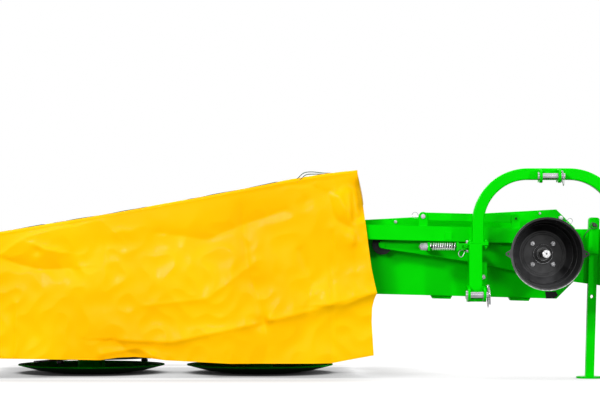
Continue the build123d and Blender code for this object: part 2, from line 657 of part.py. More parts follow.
def stand_leg():
    """Square leg on a round foot, with its pin holes."""
    half = STAND_LEG_SIZE / 2
    inner = half - STAND_LEG_WALL
    leg = block((-half, half), (-half, half), (FOOT_THICKNESS / 2, STAND_LEG_LENGTH))
    leg -= block((-inner, inner), (-inner, inner), (FOOT_THICKNESS, STAND_LEG_LENGTH + 1))
    for height in STAND_HOLES:
        leg -= stand_hole(height)
    foot = rod((FOOT_X, STAND_Y, 0), (FOOT_X, STAND_Y, FOOT_THICKNESS), FOOT_RADIUS)
    return stand_place() * leg + foot


def beam():
    """Sloping box tube in front of the belt box."""
    length = (BEAM_RIGHT - BEAM_LEFT) / math.cos(math.radians(BEAM_SLOPE))
    tube = Box(length, BEAM_DEPTH, BEAM_HEIGHT)
    tube -= Box(length + 2, BEAM_DEPTH - 2 * BEAM_WALL, BEAM_HEIGHT - 2 * BEAM_WALL)
    middle = (BEAM_LEFT + BEAM_RIGHT) / 2
    return Location((middle, BEAM_Y, beam_height(middle)), (0, BEAM_SLOPE, 0)) * tube


def stay_brackets():
    """Two upright plates on the beam, rounded on top, each bored for a pin."""
    brackets = []
    for x in STAY_BRACKET_X:
        left = x - STAY_BRACKET_WIDTH / 2
        right = x + STAY_BRACKET_WIDTH / 2
        top = beam_height(x) + BEAM_HALF_SECTION + STAY_BRACKET_RISE
        shoulder = top - STAY_BRACKET_WIDTH / 2
        feet = [(end, beam_height(end) + BEAM_HALF_SECTION) for end in (left, right)]
        outline = [*feet, (right, shoulder), (left, shoulder)]
        front = BEAM_Y - STAY_BAR_DEPTH / 2 - STAY_BRACKET_THICKNESS
        rear = front + STAY_BRACKET_THICKNESS
        plate = plate_across_y(outline, front, STAY_BRACKET_THICKNESS)
        plate += rod((x, front, shoulder), (x, rear, shoulder), STAY_BRACKET_WIDTH / 2)
        brackets.append(plate - rod((x, front - 1, shoulder), (x, rear + 1, shoulder), STAY_PIN_RADIUS))
    return together(brackets)


def stay_bar():
    """Locking bar behind the two brackets, above the beam."""
    first, second = STAY_BRACKET_X
    base = BEAM_HEIGHT / 2 + STAY_BAR_LIFT
    outline = []
    for x, rise in ((first, 0), (second, 0), (second, STAY_BAR_HEIGHT), (first, STAY_BAR_HEIGHT)):
        outline.append((x, beam_height(x) + base + rise))
    return plate_across_y(outline, BEAM_Y - STAY_BAR_DEPTH / 2, STAY_BAR_DEPTH)


def beam_links():
    """Plates that join the beam to the belt box, the middle one resting on the bumper."""
    stop = BUMPER_HEIGHT + BUMPER_RADIUS + END_CLEARANCE
    places = [(left, width, beam_height(left) + rise) for left, width, rise in BEAM_LINKS]
    places.append((PLATE_TIP_X - STOP_LINK_WIDTH / 2, STOP_LINK_WIDTH, stop))
    links = []
    for left, width, bottom in places:
        y = (BEAM_REAR, BELT_BOX_FRONT)
        links.append(block((left, left + width), y, (bottom, bottom + LINK_THICKNESS)))
    return together(links)


def belt_box_outline(inset):
    """The belt box's outline as seen from the front, moved inwards by inset."""
    right = PTO_X + BELT_BOX_END - inset
    wide = right - BELT_BOX_CHAMFER
    top = belt_box_edge(wide, 1) - inset
    low = belt_box_edge(wide, -1) + inset
    return [
        (INNER_DRUM_X, BELT_END_HEIGHT + BELT_END_RADIUS - inset),
        (wide, top),
        (right, top - BELT_BOX_CHAMFER),
        (right, low + BELT_BOX_CHAMFER),
        (wide, low),
        (INNER_DRUM_X, BELT_END_HEIGHT - BELT_END_RADIUS + inset),
    ]


def belt_box_slab(front, rear, inset):
    """The belt box's form between two depths."""
    slab = plate_across_y(belt_box_outline(inset), front, rear - front)
    start = (INNER_DRUM_X, front, BELT_END_HEIGHT)
    return slab + rod(start, (INNER_DRUM_X, rear, BELT_END_HEIGHT), BELT_END_RADIUS - inset)


def belt_box():
    """Back and rim of the belt box, open to the front."""
    front = BELT_BOX_FRONT + BELT_BOX_WALL
    hollow = belt_box_slab(front - 1, BELT_BOX_REAR - BELT_BOX_WALL, BELT_BOX_WALL)
    return belt_box_slab(front, BELT_BOX_REAR, 0) - hollow


def belt_box_cover():
    """Flat sheet that closes the belt box's front."""
    return belt_box_slab(BELT_BOX_FRONT, BELT_BOX_FRONT + BELT_BOX_WALL, 0)


def belt_box_feet():
    """Two shallow tabs under the belt box."""
    feet = []
    for middle, width in BELT_FEET:
        left = middle - width / 2
        right = middle + width / 2
        outline = [
            (left, belt_box_edge(left, -1)),
            (right, belt_box_edge(right, -1)),
            (right - BELT_FOOT_SLANT, belt_box_edge(right, -1) - BELT_FOOT_DROP),
            (left + BELT_FOOT_SLANT, belt_box_edge(left, -1) - BELT_FOOT_DROP),
        ]
        feet.append(plate_across_y(outline, BELT_BOX_FRONT + BELT_FOOT_FRONT, BELT_FOOT_DEPTH))
    return together(feet)


def pivot_hub():
    """Ring on the belt box that turns on the main frame's journal."""
    start = (PTO_X, PLATE_REAR + BELL_WALL, PTO_HEIGHT)
    end = (PTO_X, BELT_BOX_FRONT, PTO_HEIGHT)
    outside = SHAFT_HOUSING_RADIUS + 2 * PLATE_THICKNESS
    return ring(start, end, outside, SHAFT_HOUSING_RADIUS + RUNNING_CLEARANCE)


def gear_case():
    """Trough of the gear case across both drums."""
    x = (OUTER_DRUM_X - GEAR_CASE_OVERHANG, INNER_DRUM_X + GEAR_CASE_OVERHANG)
    y = (DRUM_Y - GEAR_CASE_DEPTH / 2, DRUM_Y + GEAR_CASE_DEPTH / 2)
    wall = GEAR_CASE_WALL
    case = block(x, y, (GEAR_CASE_BOTTOM, GEAR_CASE_TOP))
    hollow = block((x[0] + wall, x[1] - wall), (y[0] + wall, y[1] - wall),
                   (GEAR_CASE_BOTTOM + wall, GEAR_CASE_TOP + 1))
    return case - hollow


def gear_case_cover():
    """Cover plate on the gear case."""
    x = (OUTER_DRUM_X - GEAR_CASE_OVERHANG, INNER_DRUM_X + GEAR_CASE_OVERHANG)
    y = (DRUM_Y - GEAR_CASE_DEPTH / 2, DRUM_Y + GEAR_CASE_DEPTH / 2)
    return block(x, y, (GEAR_CASE_TOP, GEAR_COVER_TOP))


def gearbox():
    """Cast gearbox between the belt box and the gear case."""
    half = GEARBOX_HALF_SIZE
    y = (BELT_BOX_REAR, DRUM_Y - GEAR_CASE_DEPTH / 2)
    x = (INNER_DRUM_X - half, INNER_DRUM_X + half)
    body = block(x, y, (BELT_END_HEIGHT - half, BELT_END_HEIGHT + half))
    return fillet(body.edges().filter_by(Axis.Y), half / 4)


def drum_shafts():
    """Fixed shaft down the middle of each drum, from the gear case to the saucer."""
    shafts = []
    for x in (INNER_DRUM_X, OUTER_DRUM_X):
        low = (x, DRUM_Y, 2 * SAUCER_THICKNESS)
        shafts.append(rod(low, (x, DRUM_Y, GEAR_CASE_BOTTOM), DRUM_SHAFT_RADIUS))
    return together(shafts)


def drum(x):
    """Drum shell with its hub and upright ribs, open at the bottom."""
    bore = DRUM_SHAFT_RADIUS + RUNNING_CLEARANCE
    wall = DRUM_WALL
    shell = turned([
        (bore, DRUM_BOTTOM),
        (DRUM_HUB_RADIUS, DRUM_BOTTOM),
        (DRUM_HUB_RADIUS, DRUM_TOP - wall),
        (DRUM_TOP_RADIUS - wall, DRUM_TOP - wall),
        (DRUM_BOTTOM_RADIUS - wall, DRUM_BOTTOM),
        (DRUM_BOTTOM_RADIUS, DRUM_BOTTOM),
        (DRUM_TOP_RADIUS, DRUM_TOP),
        (bore, DRUM_TOP),
    ], x, DRUM_Y)
    half = DRUM_RIB_THICKNESS / 2
    for turn in range(DRUM_RIB_COUNT):
        outline = [
            (DRUM_BOTTOM_RADIUS - wall / 2, DRUM_BOTTOM),
            (DRUM_BOTTOM_RADIUS + DRUM_RIB_HEIGHT, DRUM_BOTTOM),
            (DRUM_TOP_RADIUS + DRUM_RIB_HEIGHT, DRUM_TOP),
            (DRUM_TOP_RADIUS - wall / 2, DRUM_TOP),
        ]
        rib = plate_across_y(outline, -half, DRUM_RIB_THICKNESS)
        shell += Pos(x, DRUM_Y, 0) * Rot(0, 0, turn * 360 / DRUM_RIB_COUNT) * rib
    return shell


def knife_disc(x):
    """Disc under the drum that carries the knives."""
    low = (x, DRUM_Y, DRUM_BOTTOM - KNIFE_DISC_THICKNESS)
    return ring(low, (x, DRUM_Y, DRUM_BOTTOM), KNIFE_DISC_RADIUS, DRUM_SHAFT_RADIUS + RUNNING_CLEARANCE)


def knives(x):
    """The knives of one drum, each on its bolt under the disc."""
    top = DRUM_BOTTOM - KNIFE_DISC_THICKNESS
    low = top - KNIFE_THICKNESS
    root = KNIFE_DISC_RADIUS - KNIFE_OVERLAP
    half = KNIFE_WIDTH / 2
    blades = []
    for count in range(KNIFE_COUNT):
        outline = [(root - half, -half), (KNIFE_TIP_RADIUS - half, -half), (KNIFE_TIP_RADIUS, half / 2),
                   (KNIFE_TIP_RADIUS, half), (root - half, half)]
        blade = plate_across_z(outline, low, KNIFE_THICKNESS)
        blade += rod((root, 0, low - KNIFE_BOLT_DROP), (root, 0, low), KNIFE_BOLT_RADIUS)
        blades.append(Pos(x, DRUM_Y, 0) * Rot(0, 0, count * 360 / KNIFE_COUNT) * blade)
    return together(blades)


def saucer(x):
    """Pressed saucer on which the drum slides, with its hub."""
    wall = SAUCER_THICKNESS
    bore = DRUM_SHAFT_RADIUS + RUNNING_CLEARANCE
    rise = SAUCER_RIM_HEIGHT - wall
    middle = (SAUCER_RADIUS + SAUCER_FLAT_RADIUS) / 2
    sag = rise / 3
    return turned([
        (0, 0),
        (SAUCER_FLAT_RADIUS, 0),
        (middle, sag),
        (SAUCER_RADIUS, rise),
        (SAUCER_RADIUS, rise + wall),
        (middle - wall / 2, sag + wall),
        (SAUCER_FLAT_RADIUS - wall / 2, wall),
        (SAUCER_HUB_RADIUS, wall),
        (SAUCER_HUB_RADIUS, SAUCER_HUB_TOP),
        (bore, SAUCER_HUB_TOP),
        (bore, wall),
        (0, wall),
    ], x, DRUM_Y)


def guard_rail(y):
    """One long tube of the guard frame, along the mower."""
    ends = []
    for x in (APRON_OUTER_X + 2 * GUARD_RADIUS, APRON_INNER_X - GUARD_RADIUS):
        ends.append((x, y, guard_height(x)))
    return rod(*ends, GUARD_RADIUS)


def rail_places():
    """Y of the front and the rear rail."""
    inset = APRON_THICKNESS + GUARD_RADIUS + END_CLEARANCE
    return APRON_FRONT + inset, APRON_REAR - inset


def cross_places():
    """X of the cross tubes, from the inner end outwards."""
    return GUARD_POST_X, INNER_DRUM_X, OUTER_DRUM_X, APRON_OUTER_X + 3 * GUARD_RADIUS


def guard_cross_tubes():
    """The tubes between the two long rails, notched at the rails."""
    tubes = []
    front, rear = rail_places()
    for x in cross_places():
        tube = rod((x, front, guard_height(x)), (x, rear, guard_height(x)), GUARD_RADIUS)
        for y in rail_places():
            ends = [(end, y, guard_height(end)) for end in (x - 4 * GUARD_RADIUS, x + 4 * GUARD_RADIUS)]
            tube -= rod(*ends, GUARD_RADIUS + END_CLEARANCE)
        tubes.append(tube)
    return together(tubes)


def guard_posts():
    """Posts from the beam and the gear case up to the cross tubes."""
    beam_top = beam_height(GUARD_POST_X - GUARD_POST_RADIUS) + BEAM_HALF_SECTION
    posts = []
    for x, y, bottom in ((GUARD_POST_X, BEAM_Y, beam_top), (INNER_DRUM_X, DRUM_Y, GEAR_COVER_TOP),
                         (OUTER_DRUM_X, DRUM_Y, GEAR_COVER_TOP)):
        top = guard_height(x) - GUARD_RADIUS - END_CLEARANCE
        posts.append(rod((x, y, bottom), (x, y, top), GUARD_POST_RADIUS))
    return together(posts)


def apron_front():
    """Front panel of the apron, cut as it hangs, its inner edge flaring."""
    top = APRON_THICKNESS
    outline = [
        (APRON_OUTER_X, apron_top(APRON_OUTER_X) - top),
        (APRON_INNER_X, apron_top(APRON_INNER_X) - top),
        *[(APRON_INNER_X + reach, APRON_TOP_INNER - drop) for reach, drop in APRON_FLARE],
        (APRON_INNER_X + APRON_LOWEST_REACH, APRON_BOTTOM),
        *[(x, APRON_BOTTOM + rise) for x, rise in APRON_LOWER_EDGE],
        (APRON_OUTER_X, APRON_SIDE_BOTTOM),
    ]
    return plate_across_y(outline, APRON_FRONT, APRON_THICKNESS)


def apron_rear():
    """Rear panel of the apron."""
    outline = [
        (APRON_OUTER_X, apron_top(APRON_OUTER_X) - APRON_THICKNESS),
        (APRON_INNER_X, apron_top(APRON_INNER_X) - APRON_THICKNESS),
        (APRON_INNER_X, APRON_SIDE_BOTTOM),
        (APRON_OUTER_X, APRON_SIDE_BOTTOM),
    ]
    return plate_across_y(outline, APRON_REAR - APRON_THICKNESS, APRON_THICKNESS)


def apron_outer():
    """End panel of the apron beyond the outer drum."""
    top = apron_top(APRON_OUTER_X) - APRON_THICKNESS
    y = (APRON_FRONT + APRON_THICKNESS, APRON_REAR - APRON_THICKNESS)
    return block((APRON_OUTER_X, APRON_OUTER_X + APRON_THICKNESS), y, (APRON_SIDE_BOTTOM, top))


def apron_inner():
    """End panel of the apron towards the hitch, cut away round the belt box and beam."""
    top = apron_top(APRON_INNER_X - APRON_THICKNESS) - APRON_THICKNESS
    front = APRON_FRONT + APRON_THICKNESS
    rear = APRON_REAR - APRON_THICKNESS
    outline = [
        (front, top),
        (rear, top),
        (rear, APRON_SIDE_BOTTOM),
        (APRON_NOTCH_REAR, APRON_SIDE_BOTTOM),
        (APRON_NOTCH_REAR, APRON_NOTCH_HEIGHT),
        (front, APRON_NOTCH_HEIGHT),
    ]
    return plate_across_x(outline, APRON_INNER_X - APRON_THICKNESS, APRON_THICKNESS)


def apron_roof():
    """Sloping top panel of the apron."""
    outline = []
    for x, drop in ((APRON_OUTER_X, APRON_THICKNESS), (APRON_INNER_X, APRON_THICKNESS), (APRON_INNER_X, 0),
                    (APRON_OUTER_X, 0)):
        outline.append((x, apron_top(x) - drop))
    return plate_across_y(outline, APRON_FRONT, APRON_REAR - APRON_FRONT)


def build():
    """All sub-parts by name, before they are moved to the row's origin."""
    front_rail, rear_rail = rail_places()
    return {
        "headstock_arch": headstock_arch(),
        "headstock_leg_left": headstock_leg(-1),
        "headstock_leg_right": headstock_leg(1),
        "lower_hitch_ears": lower_ears(),
        "lower_hitch_pins": lower_pins(),
        "top_link_ears": top_ears(),
        "top_link_pin": top_pin(),
        "leg_side_plate": side_plate(),
        "kingpin": kingpin(),
        "kingpin_brackets": kingpin_brackets(),
        "latch_lug": latch_lug(),
        "arm_plate": arm_plate(),
        "hinge_tube": hinge_tube(),
        "shaft_housing": shaft_housing(),
        "pivot_spigot": pivot_spigot(),
        "shaft_guard": shaft_guard(),
        "bumper_pin": bumper_pin(),
        "bumper_ring": bumper_ring(),
        "latch_bracket": latch_bracket(),
        "latch_rod": latch_rod(),
        "latch_pin": latch_pin(),
        "latch_spring": latch_spring(),
        "stand_sleeve": stand_sleeve(),
        "stand_leg": stand_leg(),
        "drive_shaft": drive_shaft(),
        "beam": beam(),
        "stay_brackets": stay_brackets(),
        "stay_bar": stay_bar(),
        "beam_links": beam_links(),
        "belt_box": belt_box(),
        "belt_box_cover": belt_box_cover(),
        "belt_box_feet": belt_box_feet(),
        "pivot_hub": pivot_hub(),
        "gearbox": gearbox(),
        "gear_case": gear_case(),
        "gear_case_cover": gear_case_cover(),
        "drum_shafts": drum_shafts(),
        "drum_inner": drum(INNER_DRUM_X),
        "drum_outer": drum(OUTER_DRUM_X),
        "knife_disc_inner": knife_disc(INNER_DRUM_X),
        "knife_disc_outer": knife_disc(OUTER_DRUM_X),
        "knives_inner": knives(INNER_DRUM_X),
        "knives_outer": knives(OUTER_DRUM_X),
        "saucer_inner": saucer(INNER_DRUM_X),
        "saucer_outer": saucer(OUTER_DRUM_X),
        "guard_rail_front": guard_rail(front_rail),
        "guard_rail_rear": guard_rail(rear_rail),
        "guard_cross_tubes": guard_cross_tubes(),
        "guard_posts": guard_posts(),
        "apron_front": apron_front(),
        "apron_rear": apron_rear(),
        "apron_outer": apron_outer(),
        "apron_inner": apron_inner(),
        "apron_roof": apron_roof(),
    }


# The row's origin is on the ground, under the middle of the whole machine
PARTS = build()
BOUNDS = together(PARTS.values()).bounding_box()
SHIFT = Vector(-BOUNDS.center().X, -BOUNDS.center().Y, -BOUNDS.min.Z)

os.makedirs("parts", exist_ok=True)
for name, shape in PARTS.items():
    export_step(Pos(*SHIFT) * shape, f"parts/{name}.step")
print("shift", [round(value, 3) for value in SHIFT])
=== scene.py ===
import json
import math

import bmesh
import bpy
import numpy
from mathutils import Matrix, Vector, noise


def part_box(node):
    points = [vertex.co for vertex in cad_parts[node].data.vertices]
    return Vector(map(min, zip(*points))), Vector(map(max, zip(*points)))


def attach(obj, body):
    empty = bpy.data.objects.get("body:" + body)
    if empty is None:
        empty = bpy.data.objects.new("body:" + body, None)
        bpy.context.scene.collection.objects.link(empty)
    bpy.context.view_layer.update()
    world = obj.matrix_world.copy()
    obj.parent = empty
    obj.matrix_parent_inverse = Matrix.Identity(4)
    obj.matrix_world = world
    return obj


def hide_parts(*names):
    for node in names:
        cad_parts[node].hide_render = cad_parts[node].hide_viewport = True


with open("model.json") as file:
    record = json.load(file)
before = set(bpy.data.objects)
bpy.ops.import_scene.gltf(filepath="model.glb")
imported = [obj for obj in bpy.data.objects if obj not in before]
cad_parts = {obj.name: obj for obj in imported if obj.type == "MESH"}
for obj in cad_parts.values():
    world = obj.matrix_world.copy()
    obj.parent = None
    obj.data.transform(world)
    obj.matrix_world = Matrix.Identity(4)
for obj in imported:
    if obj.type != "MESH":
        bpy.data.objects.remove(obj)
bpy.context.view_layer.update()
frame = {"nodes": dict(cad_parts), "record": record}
NODES = frame["nodes"]

# Driving dimensions, in metres
PTO = Vector((1.067, -0.605, 0.546))
CAMERA_PLACE = Vector((0.007, -10.305, 0.546))
CAMERA_PITCH = math.radians(1.371)
CAMERA_LENS = 135.35
CAMERA_SENSOR = 36
CAMERA_CLIP = 200

# Light that the world casts on surfaces, and how far and how strongly the object darkens the floor near it
WORLD_STRENGTH = 0.2
FLOOR_REACH = 0.5
FLOOR_DEPTH = 1.15
FLOOR_TONE = 0.11
FLOOR_HALF = 60
# Lamps: name, place, target, size and power
LAMPS = (
    ("top", (0, -0.4, 4.6), (0, 0, 0), (6, 5), 130),
    ("key", (-3.3, -6.0, 4.0), (0.2, -0.3, 0.45), (1.2, 1.0), 240),
    ("front", (-1.8, -7.4, 2.0), (0.3, 0, 0.45), (1.6, 0.8), 150),
    ("fill", (2.6, -7.5, 2.6), (0.4, 0, 0.5), (4, 2), 85),
    ("glint", (-2.6, -4.6, 3.4), (0, 0, 0.5), (0.3, 0.3), 30),
    ("rear", (-1.5, 6.5, 3.2), (0, 0, 0.4), (4, 2.5), 150),
    ("side", (3.4, -5.2, 1.6), (1.3, -0.5, 0.5), (0.2, 0.5), 70),
)

# Colours as they look in plain light
WHITE = (1, 1, 1, 1)
GREEN = (0.0, 0.67, 0.0)
# Near black green, painted as shade on the saucers' undersides
GREEN_PAINTED_SHADE = (0.0, 0.03, 0.002)
YELLOW = (1.0, 0.462, 0.0)
YELLOW_LIGHT = (1.0, 0.545, 0.0)
BLACK = (0.014, 0.014, 0.0145)
ZINC = (0.36, 0.355, 0.375)
STEEL = (0.42, 0.42, 0.43)
# Near black painted on the rod inside the spring, as the shade between the coils
ROD_PAINTED_SHADE = (0.02, 0.02, 0.02)

# Where noise starts and stops to change a colour and a roughness, and the grain's detail and strength
COLOUR_SPAN = (0.35, 0.65)
ROUGHNESS_SPAN = (0.3, 0.7)
GRAIN_DETAIL = 5.0
GRAIN_STRENGTH = 0.6
COAT_ROUGHNESS = 0.12


# Shader nodes
def set_inputs(tree, node, inputs):
    """Gives a node's inputs plain values, or links them to other nodes' outputs."""
    for name, value in inputs.items():
        if isinstance(value, bpy.types.NodeSocket):
            tree.links.new(value, node.inputs[name])
        else:
            node.inputs[name].default_value = value


def add_node(tree, kind, inputs, operation=None):
    """A new node with its inputs, and its operation where it has one."""
    node = tree.nodes.new(kind)
    if operation:
        node.operation = operation
    set_inputs(tree, node, inputs)
    return node


def add_math(tree, operation, *values):
    """The outcome of a sum with numbers."""
    return add_node(tree, "ShaderNodeMath", dict(enumerate(values)), operation).outputs[0]


def add_vector_math(tree, operation, outcome, *values):
    """The outcome of a sum with vectors: its Vector or its Value."""
    return add_node(tree, "ShaderNodeVectorMath", dict(enumerate(values)), operation).outputs[outcome]


def object_place(tree):
    """A place in the object's own coordinates, which are metres."""
    return tree.nodes.new("ShaderNodeTexCoord").outputs["Object"]


def part_of(tree, source, axis):
    """One coordinate of a vector."""
    return add_node(tree, "ShaderNodeSeparateXYZ", {"Vector": source}).outputs[axis]


def map_range(tree, source, start, stop, low=0.0, high=1.0):
    """A number that goes from low to high as the source goes from start to stop."""
    span = add_node(tree, "ShaderNodeMapRange", {
        "Value": source, "From Min": start, "From Max": stop, "To Min": low, "To Max": high})
    return span.outputs["Result"]


def ramp_between(tree, source, first, second):
    """A colour that goes from first to second as the source rises."""
    ramp = add_node(tree, "ShaderNodeValToRGB", {"Fac": source})
    for element, position, colour in zip(ramp.color_ramp.elements, COLOUR_SPAN, (first, second)):
        element.position = position
        element.color = (*colour, 1)
    return ramp.outputs["Color"]


def mix_colours(tree, share, first, second):
    """The first colour where the share is 0, the second where it is 1."""
    mix = tree.nodes.new("ShaderNodeMix")
    mix.data_type = "RGBA"
    set_inputs(tree, mix, {"Factor": share, "A": first, "B": second})
    return mix.outputs["Result"]


def make_noise(tree, scale, detail=3.0, stretch=None):
    """Noise in the object's own coordinates."""
    source = object_place(tree)
    if stretch:
        source = add_node(tree, "ShaderNodeMapping", {"Vector": source, "Scale": stretch}).outputs["Vector"]
    texture = add_node(tree, "ShaderNodeTexNoise", {"Vector": source, "Scale": scale, "Detail": detail})
    return texture.outputs["Fac"]


def any_of(tree, *kinds):
    """1 where the ray is of one of these kinds."""
    rays = tree.nodes.new("ShaderNodeLightPath")
    found = rays.outputs[kinds[0]]
    for kind in kinds[1:]:
        found = add_math(tree, "MAXIMUM", found, rays.outputs[kind])
    return found


def set_shader(tree, inputs):
    """Sets or links inputs of a material's shader."""
    set_inputs(tree, tree.nodes["Principled BSDF"], inputs)


def shader_colour(tree):
    """The output that colours a material's shader so far."""
    return tree.nodes["Principled BSDF"].inputs["Base Color"].links[0].from_socket


def link_bump(tree, height, strength, depth, rounding=0.0):
    """Feeds a height into the shader's normal, over edges that look rounded off."""
    bump = add_node(tree, "ShaderNodeBump", {"Height": height, "Strength": strength, "Distance": depth})
    if rounding:
        bevel = add_node(tree, "ShaderNodeBevel", {"Radius": rounding})
        set_inputs(tree, bump, {"Normal": bevel.outputs["Normal"]})
    set_shader(tree, {"Normal": bump.outputs["Normal"]})


def new_material(name, inputs):
    """A material with plain values on its shader."""
    material = bpy.data.materials.new(name)
    material.use_nodes = True
    set_shader(material.node_tree, inputs)
    return material


# Camera, light and floor
def add_object(name, data):
    """A new object in the scene."""
    item = bpy.data.objects.new(name, data)
    bpy.context.scene.collection.objects.link(item)
    return item


def make_camera():
    """The photograph's view: level with the shaft, a little tilted up."""
    data = bpy.data.cameras.new("camera")
    data.lens = CAMERA_LENS
    data.sensor_width = CAMERA_SENSOR
    data.clip_end = CAMERA_CLIP
    camera = add_object("camera", data)
    camera.location = CAMERA_PLACE
    camera.rotation_euler = (math.pi / 2 + CAMERA_PITCH, 0, 0)
    bpy.context.scene.camera = camera


def area_light(name, place, target, size, power):
    """A soft lamp that points at a target."""
    data = bpy.data.lights.new(name, "AREA")
    data.shape = "RECTANGLE"
    data.size, data.size_y = size
    data.energy = power
    lamp = add_object(name, data)
    lamp.location = place
    lamp.rotation_euler = (Vector(target) - Vector(place)).to_track_quat("-Z", "Y").to_euler()


def make_world():
    """White where the camera looks, soft grey light on the object."""
    world = bpy.data.worlds.new("studio")
    world.use_nodes = True
    tree = world.node_tree
    seen = any_of(tree, "Is Camera Ray", "Is Glossy Ray", "Is Transmission Ray")
    strength = map_range(tree, seen, 0.0, 1.0, WORLD_STRENGTH, 1.0)
    set_inputs(tree, tree.nodes["Background"], {"Color": WHITE, "Strength": strength})
    bpy.context.scene.world = world


def make_floor():
    """Pale floor, white in the open, that keeps the object's shadow and darkens close to it."""
    mesh = bpy.data.meshes.new("floor")
    corners = [(x * FLOOR_HALF, y * FLOOR_HALF, 0) for x, y in ((-1, -1), (1, -1), (1, 1), (-1, 1))]
    mesh.from_pydata(corners, [], [(0, 1, 2, 3)])
    floor = add_object("floor", mesh)
    material = new_material("floor", {
        "Base Color": (FLOOR_TONE, FLOOR_TONE, FLOOR_TONE, 1), "Roughness": 0.9, "Specular IOR Level": 0.1,
        "Emission Color": WHITE})
    tree = material.node_tree
    openness = add_node(tree, "ShaderNodeAmbientOcclusion", {"Distance": FLOOR_REACH})
    glow = add_math(tree, "POWER", openness.outputs["AO"], FLOOR_DEPTH)
    seen = any_of(tree, "Is Camera Ray", "Is Glossy Ray")
    set_shader(tree, {"Emission Strength": add_math(tree, "MULTIPLY", glow, seen)})
    mesh.materials.append(material)


def make_stage():
    """Everything round the object."""
    bpy.context.scene.view_settings.view_transform = "Standard"
    make_camera()
    make_world()
    make_floor()
    for lamp in LAMPS:
        area_light(*lamp)


# Materials
def make_material(name, colours, roughness, patch, grain, bump, metallic=0.0, coat=0.0, specular=0.5,
                  stretch=None, rounding=0.0):
    """A finish with patches of two colours and roughnesses, and a fine grain in its surface.

    patch and grain are noise scales per metre, bump is the grain's depth in metres.
    """
    material = new_material(name, {
        "Metallic": metallic, "Coat Weight": coat, "Coat Roughness": COAT_ROUGHNESS,
        "Specular IOR Level": specular})
    tree = material.node_tree
    patches = make_noise(tree, patch)
    set_shader(tree, {"Base Color": ramp_between(tree, patches, *colours),
                      "Roughness": map_range(tree, patches, *ROUGHNESS_SPAN, *roughness)})
    link_bump(tree, make_noise(tree, grain, GRAIN_DETAIL, stretch), GRAIN_STRENGTH, bump, rounding)
    return material


def shade(colour, factor):
    """The colour made darker or lighter."""
    return tuple(min(1.0, value * factor) for value in colour)


# Finishes: two colours, two roughnesses, patch, grain and bump, then what differs from plain paint
FINISHES = {
    "green_paint": ((shade(GREEN, 0.92), GREEN), (0.26, 0.36), 5, 260, 0.00012,
        {"specular": 0.02, "coat": 0.03, "rounding": 0.004}),
    "green_casting": ((shade(GREEN, 0.86), shade(GREEN, 0.98)), (0.38, 0.5), 14, 420, 0.0005,
        {"specular": 0.05}),
    # The saucers' green runs lighter than the frame's: painted light for rims that lie in the apron's shade
    "saucer_paint_and_shade": ((shade(GREEN, 0.92), shade(GREEN, 1.1)), (0.45, 0.6), 7, 260, 0.0002,
        {"specular": 0.03}),
    "zinc_plate": ((shade(ZINC, 0.82), ZINC), (0.2, 0.34), 45, 900, 0.00008, {"metallic": 1.0}),
    "latch_finish": ((shade(ZINC, 0.82), ZINC), (0.2, 0.34), 45, 900, 0.00008,
        {"metallic": 1.0, "specular": 0.1}),
    "spring_zinc": (((0.55, 0.55, 0.56), (0.8, 0.8, 0.81)), (0.16, 0.28), 45, 900, 0.00008,
        {"metallic": 1.0}),
    "dull_zinc": (((0.16, 0.16, 0.165), (0.45, 0.45, 0.46)), (0.22, 0.4), 160, 900, 0.0001,
        {"metallic": 1.0}),
    "bright_steel": ((shade(STEEL, 0.85), shade(STEEL, 1.25)), (0.18, 0.32), 30, 700, 0.0001,
        {"metallic": 1.0, "stretch": (1, 14, 1)}),
    "knife_steel": (((0.03, 0.03, 0.032), (0.075, 0.073, 0.07)), (0.35, 0.55), 35, 600, 0.0002,
        {"metallic": 0.8}),
    "stub_steel": (((0.012, 0.012, 0.012), (0.035, 0.034, 0.032)), (0.3, 0.45), 60, 700, 0.0002,
        {"metallic": 0.3}),
    "black_casting": ((shade(BLACK, 0.4), BLACK), (0.4, 0.6), 16, 480, 0.0004, {"specular": 0.2}),
    "worn_casting": (((0.006, 0.006, 0.006), (0.03, 0.03, 0.03)), (0.3, 0.5), 40, 500, 0.0002, {}),
    "black_plastic": ((BLACK, shade(BLACK, 1.5)), (0.34, 0.46), 12, 800, 0.00012, {"specular": 0.2}),
    "bell_plastic": ((BLACK, shade(BLACK, 1.5)), (0.3, 0.42), 12, 800, 0.00012, {"specular": 0.2}),
    "rubber": (((0.006, 0.006, 0.006), (0.012, 0.012, 0.013)), (0.55, 0.75), 28, 900, 0.0003,
        {"specular": 0.1}),
    "cord": (((0.004, 0.045, 0.012), (0.01, 0.085, 0.025)), (0.5, 0.7), 60, 1400, 0.0003, {}),
}
MATERIALS = {name: make_material(name, *finish, **extras) for name, (*finish, extras) in FINISHES.items()}
BELL_LIP_RADIUS = 0.1545
STUB_FACE_DEPTH = 0.0021
SPRING_LOW, SPRING_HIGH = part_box("latch_spring")
ROD_START = SPRING_LOW.x - 0.011
FORK_START = SPRING_HIGH.x - 0.001


def make_apron_fabric():
    """Coated fabric: soft shade changes, a faint weave and small dents."""
    material = new_material("apron_fabric", {
        "Coat Weight": 0.02, "Coat Roughness": 0.05, "Specular IOR Level": 0.03})
    tree = material.node_tree
    patches = make_noise(tree, 1.7, 2.0)
    set_shader(tree, {"Base Color": ramp_between(tree, patches, YELLOW, YELLOW_LIGHT),
                      "Roughness": map_range(tree, patches, *ROUGHNESS_SPAN, 0.26, 0.36)})
    weave = add_node(tree, "ShaderNodeTexWave", {
        "Vector": object_place(tree), "Scale": 320, "Distortion": 1.2})
    weave_share = 0.012
    height = add_math(tree, "MULTIPLY_ADD", weave.outputs["Fac"], weave_share, make_noise(tree, 9.0, 4.0))
    link_bump(tree, height, 0.35, 0.006)
    return material


